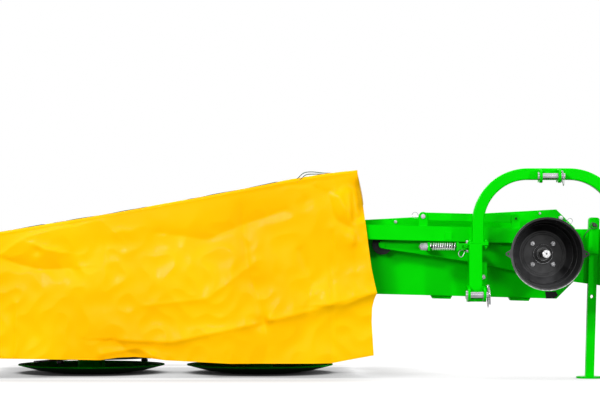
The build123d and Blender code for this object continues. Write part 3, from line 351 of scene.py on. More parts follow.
def finish_bell(tree):
    """The bell's inside is painted lighter towards the lower left and darker towards the upper right, as
    painted light and shade, and its lip carries a painted highlight along the lower half.
    """
    from_middle = add_vector_math(tree, "SUBTRACT", "Vector", object_place(tree), PTO)
    flat = add_vector_math(tree, "MULTIPLY", "Vector", from_middle, (1, 0, 1))

    def rising(direction, start, stop):
        """0 to 1 along a direction across the bell."""
        span = map_range(tree, add_vector_math(tree, "DOT_PRODUCT", "Value", flat, direction), start, stop)
        span.node.interpolation_type = "SMOOTHSTEP"
        return span

    mottling = make_noise(tree, 38, 4.0)
    # Painted shade on the walls towards the upper right, painted light on the walls towards the lower left
    shaded_wall = ramp_between(tree, mottling, shade(BLACK, 0.15), shade(BLACK, 0.6))
    lit_wall = ramp_between(tree, mottling, shade(BLACK, 3.6), shade(BLACK, 5.4))
    # Painted highlight along the lower half of the lip
    lip_highlight = ramp_between(tree, make_noise(tree, 90, 4.0), (0.22, 0.22, 0.22), (0.7, 0.7, 0.7))
    lip = add_math(tree, "GREATER_THAN", add_vector_math(tree, "LENGTH", "Value", flat), BELL_LIP_RADIUS)
    highlight_band = add_math(tree, "MULTIPLY", lip, rising((0, 0, -1), 0.05, 0.13))
    wall = mix_colours(tree, rising((-0.75, 0, -0.66), -0.07, 0.13), shaded_wall, lit_wall)
    set_shader(tree, {"Base Color": mix_colours(tree, highlight_band, wall, lip_highlight)})


def finish_saucer(tree):
    """Green paint on the saucer's rim, with painted shade: near black wherever the surface faces down."""
    facing = tree.nodes.new("ShaderNodeTexCoord").outputs["Normal"]
    # Faces that point down take the painted shade colour
    under = map_range(tree, part_of(tree, facing, "Z"), -0.35, -0.75)
    set_shader(tree, {"Base Color": mix_colours(tree, under, shader_colour(tree), (*GREEN_PAINTED_SHADE, 1))})


def finish_latch_rod(tree):
    """Zinc on the nut, the rod inside the spring painted near black as the shade between the coils, green
    paint on the end plate and fork.
    """
    x = part_of(tree, object_place(tree), "X")
    rod, fork = (add_math(tree, "GREATER_THAN", x, start) for start in (ROD_START, FORK_START))
    # The rod inside the spring takes painted shade
    colour = mix_colours(tree, rod, shader_colour(tree), (*ROD_PAINTED_SHADE, 1))
    colour = mix_colours(tree, fork, colour, (*shade(GREEN, 0.92), 1))
    set_shader(tree, {"Base Color": colour, "Metallic": add_math(tree, "SUBTRACT", 1.0, fork)})


def finish_stub(tree):
    """Greased dark steel, bare and bright on the stub's end face."""
    y = part_of(tree, object_place(tree), "Y")
    face = add_math(tree, "LESS_THAN", y, PTO.y + STUB_FACE_DEPTH)
    sawn = make_noise(tree, 220, stretch=(1, 1, 4))
    bare = ramp_between(tree, sawn, (0.42, 0.42, 0.42), (0.72, 0.72, 0.72))
    set_shader(tree, {"Base Color": mix_colours(tree, face, shader_colour(tree), bare)})


MATERIALS["apron_fabric"] = make_apron_fabric()
for name, finish in (("bell_plastic", finish_bell), ("saucer_paint_and_shade", finish_saucer),
                     ("latch_finish", finish_latch_rod), ("stub_steel", finish_stub)):
    finish(MATERIALS[name].node_tree)
OWN_FINISHES = {"saucer_inner": "saucer_paint_and_shade", "saucer_outer": "saucer_paint_and_shade", "latch_rod": "latch_finish",
                "shaft_guard": "bell_plastic"}


def dress_nodes():
    """Each CAD node gets the finish of its material slot in the record, or its own."""
    for part in frame["record"]["subparts"]:
        mesh = NODES[part["node"]].data
        mesh.materials.clear()
        mesh.materials.append(MATERIALS[OWN_FINISHES.get(part["node"], part["material_slot"])])


# Ways of making a piece
SHARP_ANGLE = math.radians(38)
FORWARD, UPWARD = (0, -1, 0), (0, 0, 1)


def new_piece(name, body, material, *shapes):
    """A mesh piece that rides on a body, with the given finish."""
    points, faces = joined(*shapes)
    mesh = bpy.data.meshes.new(name)
    mesh.from_pydata([tuple(point) for point in points], [], faces)
    mesh.validate()
    mesh.materials.append(MATERIALS[material])
    mesh.shade_smooth()
    mesh.set_sharp_from_angle(angle=SHARP_ANGLE)
    piece = add_object(name, mesh)
    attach(piece, body)
    return piece


def joined(*shapes):
    """Several shapes, each points and faces, as one."""
    points, faces = [], []
    for shape_points, shape_faces in shapes:
        start = len(points)
        points.extend(shape_points)
        faces.extend(tuple(start + index for index in face) for face in shape_faces)
    return points, faces


def rings_joined(rings, closed=False):
    """Rings of as many points each, joined by faces, with flat ends unless closed."""
    steps = len(rings[0])
    points = [point for row in rings for point in row]
    faces = []
    last = len(rings) - 1
    for level in range(last + closed):
        above = (level + 1) % len(rings) * steps
        for step in range(steps):
            following = (step + 1) % steps
            faces.append((level * steps + step, level * steps + following, above + following, above + step))
    if not closed:
        faces.append(tuple(reversed(range(steps))))
        faces.append(tuple(range(last * steps, (last + 1) * steps)))
    return points, faces


def full_turn(steps):
    """Even angles round a circle."""
    return [2 * math.pi * step / steps for step in range(steps)]


def turned(profile, place, direction, steps=24, closed=False):
    """A profile of places along a line and radii, turned about that line."""
    along = Vector(direction).normalized()
    side = along.orthogonal().normalized()
    up = along.cross(side)
    rings = [[Vector(place) + along * distance + (side * math.cos(turn) + up * math.sin(turn)) * radius
              for turn in full_turn(steps)] for distance, radius in profile]
    return rings_joined(rings, closed)


def wire(path, radius, sides=8, closed=False):
    """A round wire along a path; the radius is one number, or one for each point."""
    path = [Vector(point) for point in path]
    radii = radius if isinstance(radius, list) else [radius] * len(path)
    last = len(path) - 1
    rings = []
    side = None
    for index, point in enumerate(path):
        before = path[index - 1] if index > 0 or closed else point
        after = path[(index + 1) % len(path)] if index < last or closed else point
        along = (after - before).normalized()
        side = along.orthogonal() if side is None else side
        side = (side - along * side.dot(along)).normalized()
        up = along.cross(side)
        rings.append([point + (side * math.cos(turn) + up * math.sin(turn)) * radii[index]
                      for turn in full_turn(sides)])
    return rings_joined(rings, closed)


def curved(points, share=6):
    """More points on a smooth line through the given ones."""
    points = [Vector(point) for point in points]
    ends = [points[0] * 2 - points[1], *points, points[-1] * 2 - points[-2]]
    line = []
    for first, second, third, fourth in zip(ends, ends[1:], ends[2:], ends[3:]):
        square = 2 * first - 5 * second + 4 * third - fourth
        cube = 3 * second - first - 3 * third + fourth
        for step in range(share):
            t = step / share
            line.append(0.5 * (2 * second + (third - first) * t + square * t ** 2 + cube * t ** 3))
    return [*line, points[-1]]


def loop(place, wide, tall, count=28):
    """Points of an ellipse round a place, from its two half axes."""
    wide, tall = Vector(wide), Vector(tall)
    return [Vector(place) + wide * math.cos(turn) + tall * math.sin(turn) for turn in full_turn(count)]


def ring(middle, radius, thick, count=28, sides=6):
    """A round wire ring that faces the camera."""
    return wire(loop(middle, (radius, 0, 0), (0, 0, radius), count), thick, sides, closed=True)


def plate(outline, back, front):
    """A flat plate between two depths, from its outline across and up."""
    return rings_joined([[Vector((x, y, z)) for x, z in outline] for y in (back, front)])


def bolt(place, direction, flats, thread=0.0):
    """A hexagon head or nut on its washer, its corners chamfered, with a thread end if it is a nut."""
    washer = flats * 0.12
    rim = height = flats * 0.62
    corner = flats / 2 / math.cos(math.pi / 6)
    top = washer + height
    shapes = [
        turned([(0, rim), (washer * 0.7, rim), (washer, flats * 0.58)], place, direction, 20),
        turned([(washer, corner * 0.97), (washer + height * 0.1, corner), (top - height * 0.14, corner),
                (top, corner * 0.88)], place, direction, 6),
    ]
    if thread:
        crest, root, pitch = flats * 0.3, flats * 0.265, flats * 0.09
        ridges = [(top - 0.0005, crest)]
        for count in range(int(thread / pitch)):
            ridges += [(top + pitch * (count + 0.3), crest), (top + pitch * (count + 0.8), root)]
        ridges.append((top + thread, flats * 0.22))
        shapes.append(turned(ridges, place, direction, 14))
    return joined(*shapes)


def weld(first, last, radius=0.0028):
    """A bead of weld between two places, with its ripples."""
    first, last = Vector(first), Vector(last)
    count = max(6, int((last - first).length / 0.0016))
    path = [first.lerp(last, step / count) for step in range(count + 1)]
    radii = [radius * (0.86 + 0.14 * math.sin(step * 1.9)) for step in range(count + 1)]
    return wire(path, radii, 7)


def linchpin(place, direction, tall, body, reach):
    """A pin across a hitch pin, pointed at one end, with the sprung ring that closes over the pin's end."""
    up, place, out = Vector(UPWARD), Vector(place), Vector(direction)
    above, below = tall
    pin = turned([(0, body * 0.7), (body * 0.5, body), (above * 0.3, body), (above + below * 0.7, body),
                  (above + below * 0.9, body * 0.55), (above + below, body * 0.3)],
                 place + up * above, -up, 14)
    middle = place + up * ((above - reach) / 2 - body * 0.4) + out * body * 1.35
    round_ring = loop(middle, (0, reach * 0.72, 0), up * (above + reach) / 2 - out * body * 0.5)
    profile = [(0, body * 0.55), (body * 0.4, body * 0.95), (body * 2.2, body * 0.95),
               (body * 2.6, body * 0.55)]
    head = turned(profile, place + up * (above - body * 0.4) - out * body * 1.3, out, 12)
    return joined(pin, head, wire(round_ring, body * 0.42, 8, closed=True))


# Apron: one sheet over the guard frame, creased as it was folded in its packing
FRONT_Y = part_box("apron_front")[0].y
REAR_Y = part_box("apron_rear")[1].y
OUTER_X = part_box("apron_outer")[0].x
INNER_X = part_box("apron_inner")[1].x
ROOF_LOW, ROOF_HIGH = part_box("apron_roof")
SIDE_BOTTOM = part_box("apron_rear")[0].z
NOTCH_HEIGHT = 0.765
NOTCH_REAR = -0.125
SHEET_COLUMNS = 214
SHEET_ROWS = 100
SHEET_DEEP = 62
CREASE_STRENGTH = 1.35
# Broad swells, middling ones and small dents: depths, then noise scales and seeds
SWELL_DEPTHS = (0.013, 0.008, 0.007)
SWELL_LOOKS = ((2.2, 3.1), (6.0, 7.7), (11.0, 1.3))
# Shares of the swells on the end and rear walls and on the roof; of the front's relief just under the roof
WALL_SWELL, ROOF_SWELL, TOP_RELIEF = 0.9, 0.2, 0.35
TOP_LIFT = 0.0012
# Waves of the walls' free lower part: depth, how close they follow along and across, height and fade
WAVE_DEPTH, WAVES_ALONG, WAVES_ACROSS = 0.012, 17, 15
FREE_HEIGHT, FREE_FADE = 0.4, 0.35
# Roof: least gap between two tubes, seats on tubes and rails, sag between tubes, lift over them and at folds
TUBE_GAP = 0.1
TUBE_SEAT = 0.03
RAIL_SEAT = 0.05
ROOF_SAG = 0.05
ROOF_LIFT = 0.006
FOLD_LIFT = 0.003
FOLD_REACH = 0.012
# Inward curl of the free inner edge: depth, width, and the height over which it grows
CURL = 0.034
CURL_WIDTH = 0.075
CURL_FROM = 0.68
CURL_RISE = 0.08
# Points closer than this are one; depth behind the front over which its creases fade out
MERGE = 0.0002
FRONT_BAND = 0.03

# Free inner edge of the front panel: height, and how far it flares past the corner
INNER_EDGE = (
    (0.06, 0.074), (0.102, 0.073), (0.248, 0.064), (0.31, 0.066), (0.345, 0.074), (0.376, 0.087),
    (0.395, 0.082), (0.483, 0.063), (0.697, 0.035), (0.77, 0.026), (0.912, 0.0))
# Lower edge of the front panel: place along the mower, and height
LOWER_EDGE = (
    (-1.45, 0.09), (-1.307, 0.088), (-0.869, 0.082), (-0.79, 0.093), (-0.72, 0.096), (-0.66, 0.092),
    (-0.584, 0.081), (-0.3, 0.066), (0.147, 0.067), (0.33, 0.102))
# Upper edge of the front panel: place along the mower, and how far it stands over a straight line
UPPER_EDGE = (
    (-1.45, 0.0), (-1.307, 0.0), (-0.8, -0.004), (-0.431, -0.001), (-0.15, 0.004), (-0.037, 0.008),
    (0.1, 0.006), (0.2, 0.001), (0.26, -0.004))
# Creases of the front panel: how far out, width over and under the line, then its points along and up
CREASES = (
    (0.01, 0.06, 0.022, ((-0.79, 0.17), (-0.555, 0.16), (-0.23, 0.23), (-0.146, 0.248), (-0.015, 0.279),
                           (0.14, 0.322))),
    (0.012, 0.05, 0.02, ((0.15, 0.322), (0.205, 0.327), (0.34, 0.378))),
    (-0.008, 0.026, 0.026, ((-0.255, 0.79), (-0.228, 0.52), (-0.205, 0.44), (-0.15, 0.25))),
    (-0.007, 0.03, 0.03, ((-0.15, 0.245), (-0.135, 0.15), (-0.145, 0.07))),
    (-0.004, 0.008, 0.008, ((0.147, 0.64), (0.147, 0.066))),
    (0.012, 0.02, 0.07, ((-1.31, 0.537), (-1.265, 0.575), (-1.19, 0.622), (-1.105, 0.645),
                           (-1.02, 0.664))),
    (-0.009, 0.03, 0.045, ((-1.31, 0.532), (-1.215, 0.498), (-1.125, 0.478), (-1.0, 0.484))),
    (0.008, 0.015, 0.03, ((-1.16, 0.59), (-1.11, 0.566), (-1.06, 0.56))),
    (-0.008, 0.03, 0.018, ((-0.005, 0.862), (0.05, 0.852), (0.115, 0.822), (0.17, 0.818), (0.225, 0.892))),
    (0.014, 0.022, 0.04, ((0.18, 0.8), (0.205, 0.745), (0.236, 0.672), (0.24, 0.6))),
    (-0.01, 0.02, 0.03, ((0.13, 0.8), (0.16, 0.7), (0.235, 0.655))),
    (0.009, 0.03, 0.03, ((-0.86, 0.11), (-0.7, 0.135), (-0.64, 0.105), (-0.585, 0.08))),
    (-0.006, 0.028, 0.028, ((-0.8, 0.172), (-0.745, 0.12), (-0.69, 0.096))),
    (0.006, 0.035, 0.035, ((-0.67, 0.32), (-0.4, 0.35), (-0.18, 0.52))),
    (-0.006, 0.04, 0.04, ((-0.62, 0.64), (-0.4, 0.61), (-0.28, 0.66), (-0.06, 0.74))),
    (0.005, 0.03, 0.03, ((-0.32, 0.84), (-0.3, 0.7), (-0.22, 0.6))),
    (-0.005, 0.02, 0.02, ((0.01, 0.56), (0.06, 0.42), (0.04, 0.3))),
    (0.0015, 0.03, 0.03, ((-0.845, 0.7), (-0.845, 0.5), (-0.85, 0.26))),
    (0.005, 0.012, 0.012, ((-1.235, 0.33), (-1.232, 0.2), (-1.238, 0.1))),
    (0.005, 0.02, 0.03, ((-0.9, 0.7), (-0.86, 0.69), (-0.8, 0.64))),
    (0.006, 0.007, 0.007, ((0.222, 0.82), (0.228, 0.7))),
    (0.007, 0.008, 0.008, ((0.242, 0.88), (0.262, 0.72))),
    (0.005, 0.01, 0.02, ((-0.05, 0.835), (0.02, 0.838), (0.08, 0.85))),
)
# Dents of the front panel: depth, radius, place along and up
DENTS = (
    (-0.01, 0.03, -0.158, 0.244), (0.007, 0.016, -0.128, 0.262), (-0.006, 0.02, -1.14, 0.56),
    (0.005, 0.018, -0.64, 0.098), (-0.006, 0.025, 0.03, 0.775), (0.006, 0.018, 0.075, 0.858),
    (-0.008, 0.035, 0.235, 0.7))


def along(table, value):
    """Linear reading of a table of rising pairs."""
    columns = list(zip(*table))
    return numpy.interp(value, columns[0], columns[1])


def roof_height(x):
    """Height of the apron's straight upper line at x."""
    return ROOF_LOW.z + (ROOF_HIGH.z - ROOF_LOW.z) * (x - OUTER_X) / (INNER_X - OUTER_X)


def smooth_rise(value):
    """0 below 0, 1 above 1, smooth between."""
    value = numpy.clip(value, 0, 1)
    return value * value * (3 - 2 * value)


def front_point(column, row):
    """The front panel before its creases, from shares along and up."""
    x = OUTER_X + (INNER_X - OUTER_X) * column
    top = roof_height(x) + float(along(UPPER_EDGE, x))
    low = float(along(LOWER_EDGE, x + 0.074 * max(0.0, column - 0.8) / 0.2))
    z = low + (top - low) * row
    flare = float(along(INNER_EDGE, z)) * max(0.0, (column - 0.7) / 0.3) ** 2
    return Vector((x + flare, FRONT_Y, z))


def rear_point(column, row):
    """The rear panel before its creases."""
    x = OUTER_X + (INNER_X - OUTER_X) * column
    return Vector((x, REAR_Y, SIDE_BOTTOM + (roof_height(x) - SIDE_BOTTOM) * row))


def end_point(column, deep, row):
    """An end panel before its creases, between the front and rear panels' edges."""
    first, last = front_point(column, row), rear_point(column, row)
    return first.lerp(last, deep)


def roof_point(column, deep):
    """The roof before it sags."""
    return front_point(column, 1).lerp(rear_point(column, 1), deep)


def grid_faces(mesh, point, first_count, second_count, keep=None):
    """Adds a grid of faces whose corners come from a function of two shares."""
    corners = [[mesh.verts.new(point(i / first_count, j / second_count)) for j in range(second_count + 1)]
               for i in range(first_count + 1)]
    for i in range(first_count):
        for j in range(second_count):
            face = (corners[i][j], corners[i + 1][j], corners[i + 1][j + 1], corners[i][j + 1])
            if keep is None or keep(sum((corner.co for corner in face), Vector()) / 4):
                mesh.faces.new(face)


def outside_notch(middle):
    """False where the inner end is cut away round the belt box and beam."""
    return middle.z > NOTCH_HEIGHT or middle.y > NOTCH_REAR


def crease_height(x, z):
    """How far the front panel stands out of its plane at each x and z."""
    total = numpy.zeros_like(x)
    for out, over, under, points in CREASES:
        nearest = numpy.full_like(x, 9.0)
        above = numpy.zeros_like(x)
        for (x0, z0), (x1, z1) in zip(points, points[1:]):
            length = math.hypot(x1 - x0, z1 - z0)
            share = numpy.clip(((x - x0) * (x1 - x0) + (z - z0) * (z1 - z0)) / length ** 2, 0, 1)
            gap = numpy.hypot(x - x0 - share * (x1 - x0), z - z0 - share * (z1 - z0))
            side = ((x1 - x0) * (z - z0) - (z1 - z0) * (x - x0)) / length
            closer = gap < nearest
            nearest = numpy.where(closer, gap, nearest)
            above = numpy.where(closer, side, above)
        width = numpy.where(above > 0, over, under)
        total += out * numpy.exp(-nearest / width)
    for out, radius, x0, z0 in DENTS:
        total += out * numpy.exp(-((x - x0) ** 2 + (z - z0) ** 2) / radius ** 2)
    return total


def soft_noise(points, scale, seed):
    """Smooth noise, -1 to 1, at each point."""
    shift = Vector((seed, 2 * seed, 3 * seed))
    return numpy.array([noise.noise(Vector(point) * scale + shift) for point in points])


def tube_middles():
    """Where the guard's cross tubes stand along the mower."""
    places = sorted(vert.co.x for vert in NODES["guard_cross_tubes"].data.vertices)
    groups = [[places[0]]]
    for before, place in zip(places, places[1:]):
        if place - before > TUBE_GAP:
            groups.append([])
        groups[-1].append(place)
    return [(group[0] + group[-1]) / 2 for group in groups]


def roof_drop(x, y):
    """How far the roof hangs between the guard's rails and tubes."""
    tubes = tube_middles()
    drop = numpy.zeros_like(x)
    for first, last in zip(tubes, tubes[1:]):
        share = numpy.clip((x - first - TUBE_SEAT) / (last - first - 2 * TUBE_SEAT), 0, 1)
        drop += ROOF_SAG * (last - first) * numpy.sin(share * math.pi) ** 2
    across = numpy.clip((y - FRONT_Y - RAIL_SEAT) / (REAR_Y - FRONT_Y - 2 * RAIL_SEAT), 0, 1)
    return drop * numpy.sin(across * math.pi)


def build_sheet():
    """The apron's five panels as one mesh, still flat."""
    work = bmesh.new()
    grid_faces(work, front_point, SHEET_COLUMNS, SHEET_ROWS)
    grid_faces(work, lambda c, r: rear_point(1 - c, r), SHEET_COLUMNS, SHEET_ROWS)
    grid_faces(work, lambda d, r: end_point(1, d, r), SHEET_DEEP, SHEET_ROWS, outside_notch)
    grid_faces(work, lambda d, r: end_point(0, 1 - d, r), SHEET_DEEP, SHEET_ROWS)
    grid_faces(work, roof_point, SHEET_COLUMNS, SHEET_DEEP)
    bmesh.ops.remove_doubles(work, verts=work.verts, dist=MERGE)
    loose = [vert for vert in work.verts if not vert.link_faces]
    bmesh.ops.delete(work, geom=loose, context="VERTS")
    work.normal_update()
    work.verts.ensure_lookup_table()
    return work


def drape(place, normal):
    """Moves the flat sheet's points to where it hangs. x, y and z are views, so they follow each move."""
    x, y, z = place.T
    on_front = smooth_rise((FRONT_Y + FRONT_BAND - y) / FRONT_BAND)
    on_roof = smooth_rise((normal[:, 2] - 0.3) / 0.5)
    under_top = roof_height(x) - z
    from_edge = INNER_X + along(INNER_EDGE, z) - x
    curl = CURL * numpy.clip(1 - from_edge / CURL_WIDTH, 0, 1) ** 2 * smooth_rise((z - CURL_FROM) / CURL_RISE)
    curl *= smooth_rise((FRONT_Y + 0.1 - y) / 0.1) * smooth_rise((under_top - 0.02) / 0.06)
    crease = CREASE_STRENGTH * crease_height(x, z)
    broad, middling, small = (soft_noise(place, *look) for look in SWELL_LOOKS)
    swell = sum(depth * part for depth, part in zip(SWELL_DEPTHS, (broad, middling, -numpy.abs(small))))
    swell *= smooth_rise(under_top / 0.12 + 0.15)
    outward = crease + swell
    below = smooth_rise((under_top - 0.015) / 0.14)
    outward = below * outward + (1 - below) * (TOP_RELIEF * numpy.maximum(outward, 0) + TOP_LIFT)
    free = smooth_rise((FREE_HEIGHT - z) / FREE_FADE) * (1 - on_front)
    waves = WAVE_DEPTH * numpy.sin(x * WAVES_ALONG + y * WAVES_ACROSS + 2 * broad) * free
    place[:, 1] += curl - on_front * outward
    place += normal * ((1 - on_front) * (1 - on_roof) * (WALL_SWELL * swell + waves))[:, None]
    from_sides = numpy.minimum(y - FRONT_Y, REAR_Y - y)
    on_tubes = on_roof * smooth_rise(from_sides / 0.014)
    place[:, 2] += on_tubes * (ROOF_LIFT + ROOF_SWELL * swell - roof_drop(x, y))
    at_fold = smooth_rise(1 - under_top / FOLD_REACH) * smooth_rise(1 - from_sides / FOLD_REACH)
    place += normal * (FOLD_LIFT * at_fold)[:, None]


def make_apron():
    """The whole apron as one piece, hung over the guard."""
    work = build_sheet()
    place = numpy.array([vert.co for vert in work.verts])
    normal = numpy.array([vert.normal for vert in work.verts])
    drape(place, normal)
    for vert, point in zip(work.verts, place):
        vert.co = point
    mesh = bpy.data.meshes.new("apron_sheet")
    work.to_mesh(mesh)
    work.free()
    mesh.materials.append(MATERIALS["apron_fabric"])
    mesh.shade_smooth()
    apron = add_object("apron_sheet", mesh)
    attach(apron, "cutting_unit")
    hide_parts("apron_front", "apron_rear", "apron_outer", "apron_inner", "apron_roof")


# Headstock: hitch pin clips and bolts
LEFT_ARCH_X = 0.778
MIRROR_X = 2 * 1.083
LOWER_PIN_Z = 0.371
TOP_PIN_Z = 0.881
PIN_Y = -0.605
LOWER_CLIP_X = 0.815
TOP_CLIP_X = 1.134
FLANGE_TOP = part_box("headstock_leg_left")[1].z + 0.008
FLANGE_PAIR = 0.016
FLANGE_BOLTS_X = (0.7435, 0.8125)
FLANGE_BOLTS_Y = (-0.5385, -0.5115)
FLANGE_BOLT = 0.013


def both_sides(x):
    """A place on the left leg, and its mirror image on the right one."""
    return x, MIRROR_X - x


def make_hitch_clips():
    """Linchpins of the two lower pins and of the top-link pin."""
    for name, x, out in zip(("linchpin_left", "linchpin_right"), both_sides(LOWER_CLIP_X), (1, -1)):
        shape = linchpin((x, PIN_Y, LOWER_PIN_Z), (out, 0, 0), (0.04, 0.056), 0.0048, 0.04)
        new_piece(name, "headstock", "zinc_plate", shape)
    shape = linchpin((TOP_CLIP_X, PIN_Y, TOP_PIN_Z), (1, 0, 0), (0.022, 0.028), 0.0035, 0.04)
    new_piece("linchpin_top", "headstock", "zinc_plate", shape)


def make_headstock_bolts():
    """Bolts through the flanges under the arch, and the nut beside the leg."""
    shapes = [bolt((place, y, FLANGE_TOP), UPWARD, FLANGE_BOLT)
              for x in FLANGE_BOLTS_X for y in FLANGE_BOLTS_Y for place in both_sides(x)]
    shapes += [bolt((place, y, FLANGE_TOP - FLANGE_PAIR), (0, 0, -1), FLANGE_BOLT, 0.006)
               for y in FLANGE_BOLTS_Y for place in both_sides(FLANGE_BOLTS_X[1])]
    nut = bolt((0.795, -0.525, 0.4455), (1, 0.12, 0.1), 0.017, 0.004)
    new_piece("leg_nut", "headstock", "zinc_plate", nut)
    new_piece("headstock_bolts", "headstock", "green_paint", *shapes)


def make_hitch_webs():
    """Plates that join each pair of lower ears behind the pin."""
    shapes = []
    for left in (0.74, MIRROR_X - 0.794):
        outline = [(left, 0.343), (left + 0.003, 0.3405), (left + 0.051, 0.3405), (left + 0.054, 0.343),
                   (left + 0.054, 0.388), (left, 0.388)]
        shapes.append(plate(outline, -0.575, -0.585))
    new_piece("hitch_webs", "headstock", "green_paint", *shapes)


def make_headstock_welds():
    """Weld beads where the ears meet the legs and the arch."""
    shapes = [weld((place, -0.551, 0.388), (place, -0.551, 0.408))
              for x in (0.739, 0.795) for place in both_sides(x)]
    low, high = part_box("top_link_ears")
    thick = 0.012
    for x in (low.x, low.x + thick, high.x - thick, high.x):
        shapes.append(weld((x, -0.5515, low.z + 0.004), (x, -0.5515, high.z - 0.004), 0.0024))
    foot = FLANGE_TOP + 0.001
    for x in (LEFT_ARCH_X - 0.025, LEFT_ARCH_X + 0.025):
        shapes += [weld((place, -0.55, foot), (place, -0.5, foot)) for place in both_sides(x)]
    new_piece("headstock_welds", "headstock", "green_paint", *shapes)


# Main frame: guard bell, latch and stand pin
BELL_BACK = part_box("shaft_guard")[1].y - 0.005
BELL_BOLT_OUT = 0.045
LATCH = Vector((0.74, -0.455, 0.5785))
PLATE_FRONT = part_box("arm_plate")[0].y


def make_bell_trim():
    """Bolts and rings at the back of the guard bell, thin zinc rings painted as highlights on the collars'
    edges, and pressed steps in its wall.
    """
    nuts = [bolt((PTO.x + across, BELL_BACK, PTO.z + high), FORWARD, 0.017, 0.006)
            for across in (-BELL_BOLT_OUT, BELL_BOLT_OUT) for high in (-BELL_BOLT_OUT, BELL_BOLT_OUT)]
    new_piece("bell_bolts", "main_frame", "dull_zinc", *nuts)
    back = Vector((PTO.x, BELL_BACK, PTO.z))
    collars = (
        [(-0.001, 0.0405), (-0.001, 0.0435), (0.008, 0.0435), (0.0095, 0.0425), (0.0095, 0.0405)],
        [(0.004, 0.0225), (0.004, 0.03), (0.0115, 0.03), (0.013, 0.029), (0.013, 0.0225)])
    rings = [turned(profile, back, FORWARD, 48, closed=True) for profile in collars]
    new_piece("bell_collar", "main_frame", "worn_casting", *rings)
    # Thin bright zinc rings on the collars' front edges, painted highlights
    edges = [ring(back - Vector((0, depth, 0)), radius, 0.0007, 64)
             for depth, radius in ((0.0098, 0.0418), (0.0133, 0.0284))]
    new_piece("collar_highlights", "main_frame", "dull_zinc", *edges)
    ribs = [ring(back - Vector((0, depth, 0)), radius, 0.0013, 72, 8)
            for depth, radius in ((0.0018, 0.086), (0.0018, 0.094), (0.027, 0.1285), (0.1, 0.1385))]
    new_piece("bell_ribs", "main_frame", "bell_plastic", *ribs)


def make_splined_stub():
    """The shaft's stub: six splines, a groove for the coupling's lock and a centre hole in its end."""
    outer, root, splines = 0.01745, 0.0148, 6
    chamfered, sunk, collar = outer - 0.0018, root - 0.0006, 0.022
    groove, spline_end, shoulder = (-0.569, -0.561), -0.528, -0.459
    stations = [(-0.599, 0.0018, 0.0018), (-0.602, 0.0022, 0.0022), (-0.6048, 0.0042, 0.0042),
                (-0.605, 0.0048, 0.0048), (-0.605, chamfered, chamfered), (-0.6036, outer, outer - 0.0006),
                (-0.6026, outer, root), (groove[0], outer, root), (groove[0] + 0.001, sunk, sunk),
                (groove[1] - 0.001, sunk, sunk), (groove[1], outer, root), (spline_end, outer, root),
                (spline_end + 0.012, outer, outer), (shoulder, outer, outer), (shoulder, collar, collar),
                (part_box("drive_shaft")[1].y, collar, collar)]
    turns = full_turn(12 * splines)
    rings = [[Vector((PTO.x + radius * math.cos(turn), y, PTO.z - radius * math.sin(turn)))
              for turn, radius in zip(turns, ([high] * 6 + [low] * 6) * splines)]
             for y, high, low in stations]
    stub = new_piece("splined_stub", "drive_shaft", "stub_steel", rings_joined(rings))
    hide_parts("drive_shaft")


def make_latch_trim():
    """Coil spring, domed end of the rod's nut, head and clip of the latch pin."""
    low, high = SPRING_LOW, SPRING_HIGH
    thick = 0.0023
    radius = (high.z - low.z) / 2 - thick
    coils, flat_coils, steps = 10.5, 1.2, 26
    path = []
    total = int(coils * steps)
    for step in range(total + 1):
        turn = 2 * math.pi * step / steps
        share = step / total
        start = smooth_rise(share * coils / flat_coils)
        stop = smooth_rise((share * coils - coils + flat_coils) / flat_coils)
        even = share * 0.94 + 0.06 * (start * 0.5 + stop * 0.5)
        x = low.x + thick + (high.x - low.x - 2 * thick) * even
        path.append((x, LATCH.y - radius * math.cos(turn), LATCH.z + radius * math.sin(turn)))
    spring = new_piece("latch_coil", "main_frame", "spring_zinc", wire(path, thick, 10))
    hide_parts("latch_spring")
    nut_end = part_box("latch_rod")[0].x
    dome = turned([(0.0, 0.003), (0.0012, 0.0085), (0.0035, 0.0115), (0.0064, 0.0125)],
                  (nut_end, LATCH.y, LATCH.z), (1, 0, 0), 24)
    washer = turned([(0, 0.0172), (0.0022, 0.0178), (0.003, 0.0172)],
                    (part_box("latch_bracket")[0].x, LATCH.y, LATCH.z), (-1, 0, 0), 28)
    new_piece("latch_nut_end", "main_frame", "zinc_plate", dome, washer)
    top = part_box("latch_pin")[1].z
    head = turned([(0, 0.0118), (0.0045, 0.0118), (0.0062, 0.0095), (0.0066, 0.005)],
                  (LATCH.x, LATCH.y, top), UPWARD, 6)
    foot = (LATCH.x, LATCH.y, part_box("latch_pin")[0].z + 0.0045)
    washer = turned([(0, 0.011), (0.0016, 0.0115), (0.003, 0.011)], foot, UPWARD, 24)
    new_piece("latch_pin_head", "main_frame", "zinc_plate", head, washer)
    clip = curved([(x, LATCH.y - out, z) for x, out, z in (
        (0.7685, 0, 0.5648), (0.7525, 0, 0.5636), (0.74, 0, 0.56), (0.727, 0, 0.5592),
        (0.717, 0.004, 0.5648), (0.706, 0.009, 0.5612), (0.6985, 0.012, 0.551), (0.7, 0.014, 0.54),
        (0.7085, 0.016, 0.533), (0.717, 0.016, 0.5375), (0.7225, 0.015, 0.551), (0.729, 0.013, 0.559),
        (0.737, 0.012, 0.5548), (0.744, 0.011, 0.553), (0.752, 0.009, 0.56), (0.758, 0.009, 0.5545),
        (0.765, 0.01, 0.544))])
    new_piece("latch_clip", "main_frame", "zinc_plate", wire(clip, 0.0019, 8))


